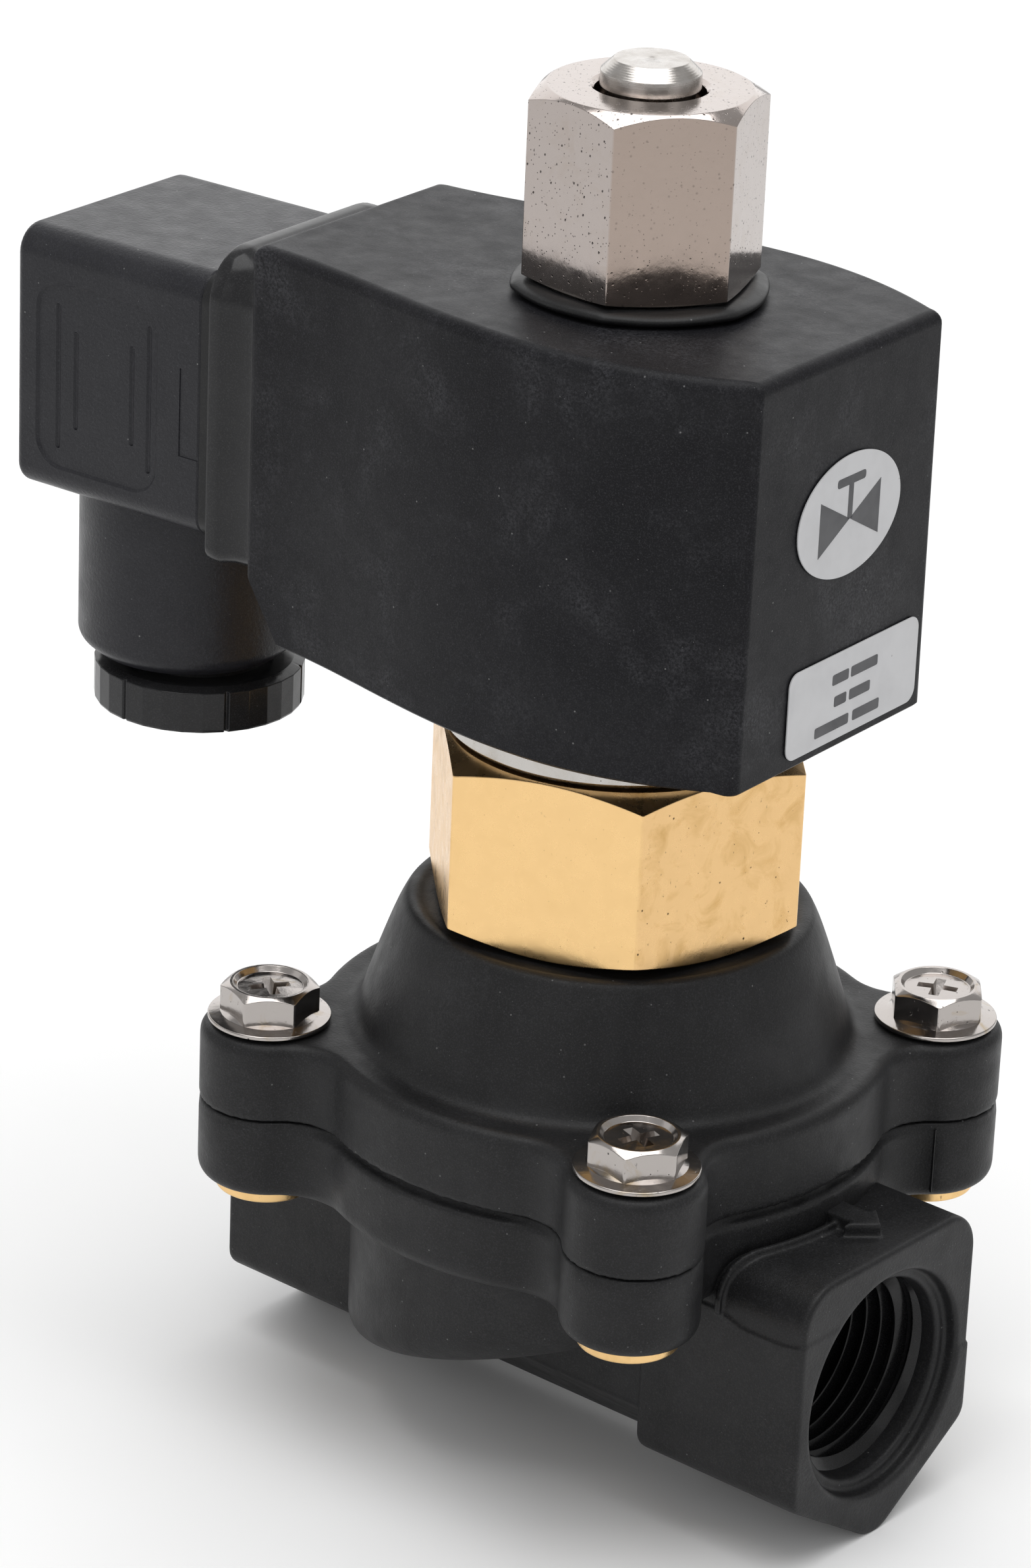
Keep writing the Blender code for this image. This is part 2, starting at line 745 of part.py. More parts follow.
def torus(name, major, minor, height, material, flat=1.0):
    """An O-ring, pressed flatter where flat is under 1."""
    profile = [(major + radius, height + rise * flat) for radius, rise in circle(minor, 6)]
    return turned(name, profile, material, steps=28)


def make_tube():
    turned(
        "armature_tube",
        [
            (TUBE_BORE, 40.0),
            (8.6, 40.0),
            (8.6, 43.7),
            (TUBE_RADIUS, 43.7),
            (TUBE_RADIUS, TUBE_TOP_Z),
            (TUBE_BORE, TUBE_TOP_Z),
        ],
        STEEL,
        steps=FINE,
    )
    inner = TUBE_BORE - GAP
    turned(
        "tube_plug",
        [
            (0.0, PLUNGER_Z[1] + 0.6),
            (inner, PLUNGER_Z[1] + 0.6),
            (inner, TUBE_TOP_Z + GAP),
            (TUBE_RADIUS, TUBE_TOP_Z + GAP),
            (TUBE_RADIUS, 106.0),
            (STUD_RADIUS, 106.4),
            (STUD_RADIUS, 122.8),
            (STUD_RADIUS - 0.5, 123.0),
            (STUD_RADIUS - 0.5, 124.3),
            (STUD_RADIUS, 124.5),
            (STUD_RADIUS, 126.7),
            (3.9, STUD_TOP_Z),
            (0.0, STUD_TOP_Z),
        ],
        STEEL,
        steps=FINE,
    )
    groove_low = CORE_Z[1] - 1.3
    turned(
        "fixed_core",
        [
            (PIN_RADIUS + GAP, CORE_Z[0]),
            (inner, CORE_Z[0]),
            (inner, CORE_Z[1]),
            (4.9, CORE_Z[1]),
            (4.9, groove_low),
            (3.3, groove_low),
            (3.3, CORE_Z[1]),
            (PIN_RADIUS + GAP, CORE_Z[1]),
        ],
        STEEL,
        steps=FINE,
    )
    turned("shading_ring", ring_profile(3.6, 4.6, groove_low + GAP, CORE_Z[1]), COPPER, steps=FINE)


def make_plunger():
    inner = TUBE_BORE - GAP
    spring_top = 90.0
    pin_top = 95.0
    turned(
        "plunger",
        [
            (3.0, PLUNGER_Z[0]),
            (inner, PLUNGER_Z[0]),
            (inner, PLUNGER_Z[1]),
            (0.0, PLUNGER_Z[1]),
            (0.0, pin_top),
            (PIN_RADIUS + GAP, pin_top),
            (PIN_RADIUS + GAP, spring_top),
            (3.0, spring_top),
        ],
        STEEL,
        steps=FINE,
    )
    seal_low = PILOT_SEAT_Z + GAP + PLUNGER_TRAVEL
    seal_high = seal_low + 1.2
    turned(
        "push_pin",
        [
            (0.0, seal_high + GAP),
            (3.0, seal_high + GAP),
            (3.0, seal_high + GAP + 2.0),
            (PIN_RADIUS, seal_high + GAP + 2.0),
            (PIN_RADIUS, pin_top - GAP),
            (0.0, pin_top - GAP),
        ],
        BRASS,
        steps=SMALL,
    )
    turned("pilot_seal", rod_profile(2.8, seal_low, seal_high), RUBBER, steps=SMALL)
    helix("plunger_spring", 2.1, 0.3, CORE_Z[1] + GAP, spring_top - GAP, 7, SPRING_STEEL)


def make_coil_nut():
    nut = hex_solid("coil_nut", NUT_ACROSS_FLATS, NUT_ANGLE, NUT_Z[0], NUT_Z[1], 0.95, 0.3, NICKEL)
    bore = turned(
        "coil_nut_bore",
        [
            (0.0, NUT_Z[0] - 1.0),
            (7.0, NUT_Z[0] - 1.0),
            (7.0, 108.0),
            (STUD_RADIUS + GAP, 108.6),
            (STUD_RADIUS + GAP, 123.6),
            (5.7, 124.0),
            (5.7, NUT_Z[1] + 1.0),
            (0.0, NUT_Z[1] + 1.0),
        ],
        steps=FINE,
        cutter=True,
    )
    cut(nut, bore)
    torus("coil_nut_o_ring", 12.0, 1.2, COIL_Z[1] + GAP + 0.48, RUBBER, flat=0.45)


# Coil: everything here is built along X and then turned by the swivel


def make_coil(swivel):
    low, high = COIL_Z
    layers = [
        (low, coil_outline(0.0, COIL_DRAFT)),
        (high - 1.3, coil_outline()),
        (high - 0.4, coil_outline(0.4)),
        (high, coil_outline(1.3)),
    ]
    housing = loft("coil_housing", layers, NYLON)
    base = prism(
        "plug_base",
        rounded_rectangle((-BASE_HALF_WIDTH, BASE_Z[0]), (BASE_HALF_WIDTH, BASE_Z[1]), 4.5, 1.7),
        BASE_X,
        COIL_X[0] + 3.0,
        axis="X",
        cutter=True,
    )
    x = COIL_X[0]
    wedge_outline = [
        (x - 2.0, low - 2.0),
        (x + 0.7 * COIL_CUT + 1.4, low - 2.0),
        (x - 0.2, low + COIL_CUT + 0.4),
        (x - 2.0, low + COIL_CUT + 3.0),
    ]
    wedge = loft("coil_corner_cut", [(-30.0, wedge_outline), (30.0, wedge_outline)], axis="Y", cutter=True)
    cut(housing, wedge)
    join(housing, base)
    core_profile = rod_profile(COIL_BORE, low - 2.0, high + 2.0)
    core_hole = turned("coil_core_hole", core_profile, steps=FINE, cutter=True)
    winding_space = turned("winding_space", rod_profile(14.6, 70.6, 98.2), steps=ROUND, cutter=True)
    yoke_low = block("yoke_space_low", (-15.3, -12.3, 67.0), (22.3, 12.3, 70.9), cutter=True)
    yoke_high = block("yoke_space_high", (-15.3, -12.3, 97.9), (22.3, 12.3, 101.8), cutter=True)
    yoke_side = block("yoke_space_side", (18.7, -12.3, 70.0), (22.3, 12.3, 99.0), cutter=True)
    cut(housing, core_hole, winding_space, yoke_low, yoke_high, yoke_side)
    pieces = [housing]
    cutters = [wedge, base, core_hole, winding_space, yoke_low, yoke_high, yoke_side]

    pieces.append(
        turned(
            "coil_bobbin",
            [
                (COIL_BORE, 70.9),
                (14.3, 70.9),
                (14.3, 71.9),
                (8.0, 71.9),
                (8.0, 96.9),
                (14.3, 96.9),
                (14.3, 97.6),
                (COIL_BORE, 97.6),
            ],
            AMBER,
            steps=FINE,
        )
    )
    pieces.append(turned("coil_winding", ring_profile(8.3, 13.8, 72.2, 96.6), COPPER, steps=FINE))
    yoke = block("magnet_yoke", (-15.0, -12.0, 67.3), (22.0, 12.0, 101.5), STEEL)
    hollow = block("yoke_hollow", (-17.0, -14.0, 70.6), (19.0, 14.0, 98.2), cutter=True)
    yoke_hole = turned("yoke_hole", rod_profile(COIL_BORE, 65.0, 104.0), steps=FINE, cutter=True)
    cut(yoke, hollow, yoke_hole)
    pieces.append(yoke)
    cutters += [hollow, yoke_hole]

    for number, (y, z) in enumerate(((0.0, 94.7), (0.0, 76.7), (9.0, 85.7)), 1):
        upright = number < 3
        half_y, half_z = (3.1, 0.4) if upright else (0.4, 3.1)
        name = f"coil_terminal_{number}" if upright else "earth_tab"
        low, high = (-51.0, y - half_y, z - half_z), (-32.0, y + half_y, z + half_z)
        pieces.append(block(name, low, high, BRASS))
        slot = block(
            name + "_slot",
            (-60.0, y - half_y - GAP, z - half_z - GAP),
            (-31.7, y + half_y + GAP, z + half_z + GAP),
            cutter=True,
        )
        cut(housing, slot)
        cutters.append(slot)
    socket = turned("connector_screw_socket", rod_profile(1.8, -46.0, -33.0), steps=12, cutter=True)
    screw_hole = along_x(socket)
    screw_hole.location.z = CONNECTOR_SCREW_Z * MM
    cut(housing, screw_hole)
    cutters.append(screw_hole)
    pieces += make_labels()
    for obj in pieces + cutters:
        obj.parent = swivel


def make_labels():
    face = COIL_X[1] + GAP
    oval_outline = [(0.5 + 8.7 * a, 88.1 + 6.15 * b) for a, b in circle(1.0, 28)]
    oval = prism("oval_label", oval_outline, face, face + 0.15, LABEL, axis="X")
    plate = prism(
        "rating_label",
        rounded_rectangle((-8.0, 65.0), (14.3, 74.0), 1.4),
        face,
        face + 0.15,
        LABEL,
        axis="X",
    )
    return [oval, plate]


# Connector and its cable gland


def make_connector(swivel):
    left, right = CONNECTOR_X
    low, high = CONNECTOR_Z
    half = CONNECTOR_HALF_WIDTH
    wall = CONNECTOR_WALL
    corner_low, corner_high = (-half, low), (half, high)
    layers = [
        (left, rounded_rectangle(corner_low, corner_high, 2.9, 1.5, inset=1.0)),
        (left + 0.3, rounded_rectangle(corner_low, corner_high, 2.9, 1.5, inset=0.3)),
        (left + 1.0, rounded_rectangle(corner_low, corner_high, 2.9, 1.5)),
        (right, rounded_rectangle(corner_low, corner_high, 2.9, 1.5)),
    ]
    shell = loft("connector_housing", layers, CONNECTOR_BLACK, axis="X")
    barrel = turned(
        "gland_barrel",
        [
            (0.0, BARREL_BOTTOM_Z),
            (BARREL_RADIUS - 1.4, BARREL_BOTTOM_Z),
            (BARREL_RADIUS - 0.4, BARREL_BOTTOM_Z + 0.5),
            (BARREL_RADIUS, BARREL_BOTTOM_Z + 1.6),
            (BARREL_RADIUS, low + 3.0),
            (0.0, low + 3.0),
        ],
        steps=32,
        centre=(BARREL_X, 0.0),
        cutter=True,
    )
    inside_low, inside_high = (left + wall, -half + wall, low + wall), (right + 2.0, half - wall, high - wall)
    inside = block("connector_inside", inside_low, inside_high, cutter=True)
    barrel_bore = turned(
        "gland_bore",
        [
            (0.0, BARREL_BOTTOM_Z - 2.0),
            (BARREL_BORE, BARREL_BOTTOM_Z - 2.0),
            (BARREL_BORE, GROMMET_TOP_Z + GAP),
            (6.0, GROMMET_TOP_Z + GAP),
            (6.0, low + wall + 1.0),
            (0.0, low + wall + 1.0),
        ],
        steps=FINE,
        centre=(GLAND_X, 0.0),
        cutter=True,
    )
    passage_profile = rod_profile(1.8, left - 2.0, left + 6.0)
    screw_hole = along_x(turned("screw_passage", passage_profile, steps=12, cutter=True))
    screw_hole.location.z = CONNECTOR_SCREW_Z * MM
    join(shell, barrel)
    cut(shell, inside, barrel_bore, screw_hole)
    pieces = [shell]
    cutters = [barrel, inside, barrel_bore, screw_hole]

    gasket = prism(
        "connector_gasket",
        rounded_rectangle((-half + 0.1, low + 0.1), (half - 0.1, high - 0.1), 2.8, 1.4),
        right + GAP,
        BASE_X - GAP,
        RUBBER,
        axis="X",
    )
    window_low, window_high = (right - 2.0, -11.4, low + 2.2), (BASE_X + 2.0, 11.4, high - 2.2)
    window = block("gasket_window", window_low, window_high, cutter=True)
    cut(gasket, window)
    pieces.append(gasket)
    cutters.append(window)

    terminals = block("terminal_block", (-58.5, -10.9, 75.2), (-45.2, 10.9, 96.6), GLOSS_BLACK)
    socket_cuts = []
    for name, y, z, half_y, half_z in (
        ("upper", 0.0, 94.7, 3.1, 0.4),
        ("lower", 0.0, 76.7, 3.1, 0.4),
        ("earth", 9.0, 85.7, 0.4, 3.1),
    ):
        socket_cuts.append(
            block(
                f"{name}_socket",
                (-52.0, y - half_y - GAP, z - half_z - GAP),
                (-44.0, y + half_y + GAP, z + half_z + GAP),
                cutter=True,
            )
        )
    passage = along_x(turned("block_passage", rod_profile(1.9, -60.0, -44.0), steps=12, cutter=True))
    passage.location.z = CONNECTOR_SCREW_Z * MM
    cut(terminals, passage, *socket_cuts)
    pieces.append(terminals)
    cutters += [passage, *socket_cuts]

    for number, (y, z) in enumerate(((-6.5, 93.2), (-6.5, 78.2), (5.0, 85.7)), 1):
        clamp = along_x(turned(f"clamp_screw_{number}", rod_profile(1.7, -61.0, -58.8), BRASS, steps=10))
        clamp.location.y = y * MM
        clamp.location.z = z * MM
        pieces.append(clamp)

    head = left - GAP
    screw = along_x(
        turned(
            "connector_screw",
            [
                (0.0, head - 2.4),
                (2.8, head - 2.1),
                (2.8, head - 0.9),
                (1.5, head - 0.9),
                (1.5, -34.0),
                (0.0, -34.0),
            ],
            NICKEL,
            steps=12,
        )
    )
    screw.location.z = CONNECTOR_SCREW_Z * MM
    seal_profile = ring_profile(1.8, 2.9, head - 0.6, head)
    washer = along_x(turned("connector_screw_seal", seal_profile, RUBBER, steps=12))
    washer.location.z = CONNECTOR_SCREW_Z * MM
    pieces += [screw, washer]

    pieces += make_gland()
    for obj in pieces + cutters:
        obj.parent = swivel


def make_gland():
    centre = (GLAND_X, 0.0)
    outer = BARREL_BORE - GAP
    grommet = turned(
        "gland_grommet", ring_profile(4.0, outer, 61.8, GROMMET_TOP_Z), RUBBER, steps=FINE, centre=centre
    )
    washer = turned(
        "gland_washer", ring_profile(CABLE_HOLE_RADIUS, outer, 60.7, 61.5), STEEL, steps=FINE, centre=centre
    )
    outline = []
    for lobe in range(6):
        for offset, drop in ((-29.0, 0.7), (-26.5, 0.0), (-13.0, 0.0), (13.0, 0.0), (26.5, 0.0), (29.0, 0.7)):
            x, y = polar(GLAND_NUT_RADIUS - drop, GLAND_NUT_ANGLE + 60.0 * lobe + offset)
            outline.append((GLAND_X + x, y))
    nut = prism("gland_nut", outline, GLAND_NUT_Z[0], GLAND_NUT_Z[1], GLOSS_BLACK)
    thread_profile = rod_profile(BARREL_BORE - GAP, GLAND_NUT_Z[1] - 1.0, 60.4)
    thread = turned("gland_nut_thread", thread_profile, steps=FINE, centre=centre, cutter=True)
    hole = turned(
        "cable_hole",
        [
            (0.0, GLAND_NUT_Z[0] - 1.0),
            (CABLE_HOLE_RADIUS + 1.0, GLAND_NUT_Z[0] - 1.0),
            (CABLE_HOLE_RADIUS + 1.0, GLAND_NUT_Z[0] + 0.4),
            (CABLE_HOLE_RADIUS, GLAND_NUT_Z[0] + 1.2),
            (CABLE_HOLE_RADIUS, 62.0),
            (0.0, 62.0),
        ],
        steps=FINE,
        centre=centre,
        cutter=True,
    )
    join(nut, thread)
    cut(nut, hole)
    return [grommet, washer, nut, thread, hole]


def make_swivel():
    """The coil and its plug turn together round the stem."""
    swivel = bpy.data.objects.new("coil_swivel", None)
    bpy.context.scene.collection.objects.link(swivel)
    swivel.rotation_euler = (0.0, 0.0, math.radians(COIL_SWIVEL))
    return swivel


make_valve_body()
make_bonnet()
make_fasteners()
make_diaphragm()
make_guide()
make_tube()
make_plunger()
make_coil_nut()
coil_swivel = make_swivel()
make_coil(coil_swivel)
make_connector(coil_swivel)
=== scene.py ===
"""Looks of a moulded, normally open solenoid valve with a G1/2 outlet and a square coil connector.

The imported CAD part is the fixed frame. Shapes here are laid out in millimetres in that frame: the flow
axis is X, the stem axis is Z, and the outlet faces +X.
"""

import math

import bmesh
import bpy
from mathutils import Matrix, Vector, noise


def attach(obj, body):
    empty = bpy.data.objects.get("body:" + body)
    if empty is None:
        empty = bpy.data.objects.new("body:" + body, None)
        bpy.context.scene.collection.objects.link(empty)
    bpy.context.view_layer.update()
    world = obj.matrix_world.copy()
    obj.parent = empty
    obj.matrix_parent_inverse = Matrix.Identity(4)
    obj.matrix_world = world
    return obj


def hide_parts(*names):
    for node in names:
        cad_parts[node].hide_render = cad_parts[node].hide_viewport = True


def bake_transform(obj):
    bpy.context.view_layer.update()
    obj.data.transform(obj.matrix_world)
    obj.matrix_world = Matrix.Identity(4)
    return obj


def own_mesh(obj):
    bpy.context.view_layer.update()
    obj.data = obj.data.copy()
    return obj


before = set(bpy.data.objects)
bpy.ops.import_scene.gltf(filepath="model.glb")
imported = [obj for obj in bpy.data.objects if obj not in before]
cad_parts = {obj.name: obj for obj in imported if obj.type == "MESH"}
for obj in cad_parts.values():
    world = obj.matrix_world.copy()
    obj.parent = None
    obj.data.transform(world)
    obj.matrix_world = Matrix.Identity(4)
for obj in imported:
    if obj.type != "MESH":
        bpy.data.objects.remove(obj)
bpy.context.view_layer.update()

MM = 0.001
GAP = 0.3
FINE_VOXEL = 0.2
VOXEL = 0.33
PARTING_GAP = 0.16

# Body
FACE_X = 37.95
BLOCK_START_X = 17.8
PORT_HALF_WIDTH = 14.0
FLAT_BOTTOM_Z = -8.8
BLOCK_TOP_Z = 14.85
BLOCK_TOP_RADIUS = 4.5
BLOCK_FOOT_RADIUS = 2.2
RIDGE_Z = -17.35
RIDGE_RADIUS = 4.0
MID_CORNER_Z = -5.0
MID_RIDGE_Z = -16.5
MID_HALF_WIDTH = 13.75
THREAD_MINOR = 9.32
THREAD_MAJOR = 10.5
THREAD_PITCH = 1.814
THREAD_LENGTH = 16.0
RECESS_RADIUS = 11.95
RECESS_DEPTH = 1.6
PASSAGE_RADIUS = 7.0
RIM_REACH = (0.7, 1.35)
RIM_HEIGHT = 0.7
RIM_END_Y = 0.4
RIM_FOOT_Z = 9.6
SEAM_LINE = ((27.1, 9.8), (30.8, 8.8), (35.4, 8.9), (38.5, 9.5))
SEAM_STEP = 0.24
FAR_SEAM_Z = -0.7
SCREW_HALF_PITCH = 23.96
LOBE_RADIUS = 6.95
WAIST_RADIUS = 29.4
LOBE_FILLET = 6.0
FLANGE_EDGE_RADIUS = 1.7
FLANGE_BOTTOM_Z = 10.25
PARTING_Z = 19.03
BONNET_TOP_Z = 27.42
DRUM_RADIUS = 25.0
DRUM_SLOPE = 0.35
DRUM_CENTRE_Z = -3.3
DRUM_EDGE_RADIUS = 3.9
CHAMBER_RADIUS = 21.5
CHAMBER_FLOOR_Z = 10.3
SEAT_OUTER_RADIUS = 10.0
SEAT_Z = 14.0
DIAPHRAGM_RADIUS = 27.0
DIAPHRAGM_THICKNESS = 1.2
INSERT_LOW_Z = 9.05
INSERT_RADIUS = 5.1
SCREW_HOLE_RADIUS = 2.7

# Stem
DOME_TOP_Z = 40.5
HEX_FOOT_Z = DOME_TOP_Z + 0.35
HEX_ACROSS_FLATS = 34.8
HEX_ANGLE = 16.4
RING_Z = (59.95, 63.6)
RING_RADIUS = 17.4
TUBE_RADIUS = 6.6
STUD_RADIUS = 4.85
STUD_TOP_Z = 127.85
NUT_ACROSS_FLATS = 20.5
NUT_Z = (106.35, 125.15)
NUT_ANGLE = 52.6
SCREW_SEAT_Z = 27.72
SCREW_TOP_Z = 31.5
SCREW_FLANGE_RADIUS = 6.25
SCREW_ACROSS_FLATS = 8.8
SCREW_TURNS = (42.0, 54.9, 9.5, 20.0)

# Coil and connector, laid out along X and turned by the swivel
SWIVEL = math.radians(3.557)
COIL_X = (-35.93, 24.87)
COIL_Z = (63.93, 104.81)
COIL_END_HALF_WIDTH = 15.0
COIL_MID_HALF_WIDTH = 20.9
COIL_WIDEST_X = 4.0
COIL_DRAFT = 0.9
COIL_CUT = 6.6
COIL_TOP_RADIUS = 1.3
WINDING_RADIUS = 14.6
YOKE_HALF_WIDTH = 12.3
LABEL_THICKNESS = 0.12
BASE_X = -42.0
BASE_HALF_WIDTH = 14.15
BASE_Z = (69.7, 102.35)
CONNECTOR_X = (-67.66, -43.3)
CONNECTOR_Z = (71.83, 99.55)
CONNECTOR_HALF_WIDTH = 13.6
CONNECTOR_RADII = (2.9, 2.4)
CONNECTOR_SCREW_Z = 85.7
BARREL_X = -55.3
BARREL_RADIUS = 11.6
BARREL_BOTTOM_Z = 53.85
BARREL_BORE = 7.7
GLAND_X = -53.8
GLAND_Z = (48.1, 52.9)
GLAND_RADIUS = 11.0
GLAND_ANGLE = -65.3
CABLE_HOLE_RADIUS = 4.5

# Setting: the light target is in metres, the rest in millimetres and degrees
FLOOR_Z = -16.72
FLOOR_RADIUS = 2500.0
LIGHT_TARGET = (0.0, 0.0, 0.06)
CAMERA_ANGLES = (39.526, 23.038, 2.445)
CAMERA_DISTANCE = 582.296
CAMERA_AIM_Z = 21.699
CAMERA_SHIFT = (-9.961, 28.588)
CAMERA_LENS = 131.50


# Outlines


def arc(centre, radius, start, end, steps):
    points = []
    for step in range(steps + 1):
        angle = math.radians(start + (end - start) * step / steps)
        points.append((centre[0] + radius * math.cos(angle), centre[1] + radius * math.sin(angle)))
    return points


def circle(radius, steps, centre=(0.0, 0.0)):
    return arc(centre, radius, 0.0, 360.0, steps)[:-1]


def polar(radius, angle):
    return (radius * math.cos(math.radians(angle)), radius * math.sin(math.radians(angle)))


def heading(start, end):
    return math.degrees(math.atan2(end[1] - start[1], end[0] - start[0]))


def rounded(points, steps=4, closed=True):
    """A polygon or open line of (a, b, radius) with each corner turned into an arc of that radius."""
    result = []
    count = len(points)
    for index, (a, b, radius) in enumerate(points):
        at_end = not closed and index in (0, count - 1)
        if radius <= 0.0 or at_end:
            result.append((a, b))
            continue
        corner = Vector((a, b))
        before = Vector(points[index - 1][:2]) - corner
        after = Vector(points[(index + 1) % count][:2]) - corner
        shortest = 0.49 * min(before.length, after.length)
        before.normalize()
        after.normalize()
        half = 0.5 * math.acos(max(-1.0, min(1.0, before.dot(after))))
        if half > 1.56 or shortest < 1e-5:
            result += [(a, b)] * (steps + 1)
            continue
        reach = min(radius / math.tan(half), shortest)
        used = reach * math.tan(half)
        centre = corner + (before + after).normalized() * (used / math.sin(half))
        first = corner + before * reach - centre
        last = corner + after * reach - centre
        start = math.atan2(first.y, first.x)
        sweep = (math.atan2(last.y, last.x) - start + math.pi) % (2.0 * math.pi) - math.pi
        for step in range(steps + 1):
            angle = start + sweep * step / steps
            result.append((centre.x + used * math.cos(angle), centre.y + used * math.sin(angle)))
    return result


def divided(points, longest):
    """The same closed outline with its long edges split."""
    result = []
    for index, point in enumerate(points):
        following = points[(index + 1) % len(points)]
        parts = max(1, math.ceil(math.dist(point, following) / longest))
        for part in range(parts):
            share = part / parts
            result.append(tuple(a + (b - a) * share for a, b in zip(point, following)))
    return result


def quarter_round(steps):
    """How far an edge rounded with a radius of one stands in from each of its two faces, at each step."""
    for step in range(steps + 1):
        angle = math.radians(90.0 * step / steps)
        yield 1.0 - math.sin(angle), 1.0 - math.cos(angle)


def hexagon(across_flats, first_angle, radius, steps, longest):
    """A hexagon with slightly rounded corners and split sides."""
    corner = across_flats / math.sqrt(3.0)
    corners = [(*polar(corner, first_angle + 60.0 * k), radius) for k in range(6)]
    return divided(rounded(corners, steps), longest)


def rounded_box(low, high, top_radius, foot_radius, inset=0.0, steps=6):
    left, right = low[0] + inset, high[0] - inset
    bottom, top = low[1] + inset, high[1] - inset
    over, under = top_radius - inset, foot_radius - inset
    corners = [(right, top, over), (left, top, over), (left, bottom, under), (right, bottom, under)]
    return rounded(corners, steps)


def flange_outline(shrink=0.0):
    """A round flange with four screw lobes, joined to it by hollow fillets."""
    waist = WAIST_RADIUS - shrink
    lobe = LOBE_RADIUS - shrink
    fillet = LOBE_FILLET + shrink
    reach = SCREW_HALF_PITCH * math.sqrt(2.0)
    side = waist + fillet
    cosine = (side ** 2 + reach ** 2 - (lobe + fillet) ** 2) / (2.0 * side * reach)
    swing = math.degrees(math.acos(cosine))
    points = []
    for quarter in range(4):
        lobe_angle = 45.0 + 90.0 * quarter
        lobe_centre = polar(reach, lobe_angle)
        before = polar(side, lobe_angle - swing)
        after = polar(side, lobe_angle + swing)
        arrive = lobe_angle - swing + 180.0
        leave = lobe_angle + swing + 180.0
        to_lobe = arrive - (arrive - heading(before, lobe_centre)) % 360.0
        from_lobe = leave + (heading(after, lobe_centre) - leave) % 360.0
        lobe_start = heading(lobe_centre, before)
        lobe_end = lobe_start + (heading(lobe_centre, after) - lobe_start) % 360.0
        points += arc(before, fillet, arrive, to_lobe, 12)
        points += arc(lobe_centre, lobe, lobe_start, lobe_end, 40)[1:-1]
        points += arc(after, fillet, from_lobe, leave, 12)
        points += arc((0.0, 0.0), waist, lobe_angle + swing, lobe_angle + 90.0 - swing, 14)[1:-1]
    return points


def port_outline(grow=0.0):
    """The section of a port block: flat sides and top, rounded upper corners, and a V underneath."""
    half = PORT_HALF_WIDTH + grow
    centre_z = BLOCK_TOP_Z - BLOCK_TOP_RADIUS
    inner = PORT_HALF_WIDTH - BLOCK_TOP_RADIUS
    slope = math.degrees(math.atan2(FLAT_BOTTOM_Z - RIDGE_Z, PORT_HALF_WIDTH))
    centre = (0.0, RIDGE_Z + RIDGE_RADIUS / math.cos(math.radians(slope)))
    points = arc(centre, RIDGE_RADIUS + grow, 270.0 - slope, 270.0 + slope, 12)
    inward = FLAT_BOTTOM_Z - 3.0 * math.tan(math.radians(slope))
    foot = [(half - 3.0, inward, 0), (half, FLAT_BOTTOM_Z, BLOCK_FOOT_RADIUS), (half, 0.0, 0)]
    points += rounded(foot, 4, False)[1:-1]
    points += arc((inner, centre_z), BLOCK_TOP_RADIUS + grow, 0.0, 90.0, 12)
    points += arc((-inner, centre_z), BLOCK_TOP_RADIUS + grow, 90.0, 180.0, 12)
    foot = [(-x, z, radius) for x, z, radius in reversed(foot)]
    points += rounded(foot, 4, False)[1:-1]
    return points


def inset_outline(points, inset):
    """Moves each corner of a closed counter-clockwise outline inwards."""
    result = []
    count = len(points)
    for index in range(count):
        before, here, after = (Vector(points[(index + k) % count]) for k in (-1, 0, 1))
        first = (here - before).normalized()
        second = (after - here).normalized()
        normal = Vector((-first.y - second.y, first.x + second.x))
        if normal.length < 1e-9:
            result.append(tuple(here))
            continue
        normal.normalize()
        square = Vector((-first.y, first.x))
        result.append(tuple(here + normal * inset / max(0.4, normal.dot(square))))
    return result


# Meshes


def plain_object(name, bm):
    bmesh.ops.remove_doubles(bm, verts=bm.verts, dist=1e-4)
    bmesh.ops.recalc_face_normals(bm, faces=bm.faces)
    mesh = bpy.data.meshes.new(name)
    bm.to_mesh(mesh)
    bm.free()
    obj = bpy.data.objects.new(name, mesh)
    bpy.context.scene.collection.objects.link(obj)
    return obj


def sections(name, rings):
    """Skins a list of rings, each a list of (x, y, z) with equally many points, and closes both ends."""
    bm = bmesh.new()
    made = [[bm.verts.new(point) for point in ring] for ring in rings]
    for first, second in zip(made, made[1:]):
        for index in range(len(first)):
            following = (index + 1) % len(first)
            bm.faces.new((first[index], first[following], second[following], second[index]))
    bm.faces.new(made[0])
    bm.faces.new(made[-1])
    return plain_object(name, bm)


def loft(name, layers, axis="Z"):
    place = {
        "X": lambda at, a, b: (at, a, b),
        "Y": lambda at, a, b: (a, at, b),
        "Z": lambda at, a, b: (a, b, at),
    }[axis]
    return sections(name, [[place(at, a, b) for a, b in outline] for at, outline in layers])


def prism(name, outline, low, high, axis="Z"):
    return loft(name, [(low, outline), (high, outline)], axis)


def box(name, low, high):
    outline = [(low[0], low[1]), (high[0], low[1]), (high[0], high[1]), (low[0], high[1])]
    return prism(name, outline, low[2], high[2])


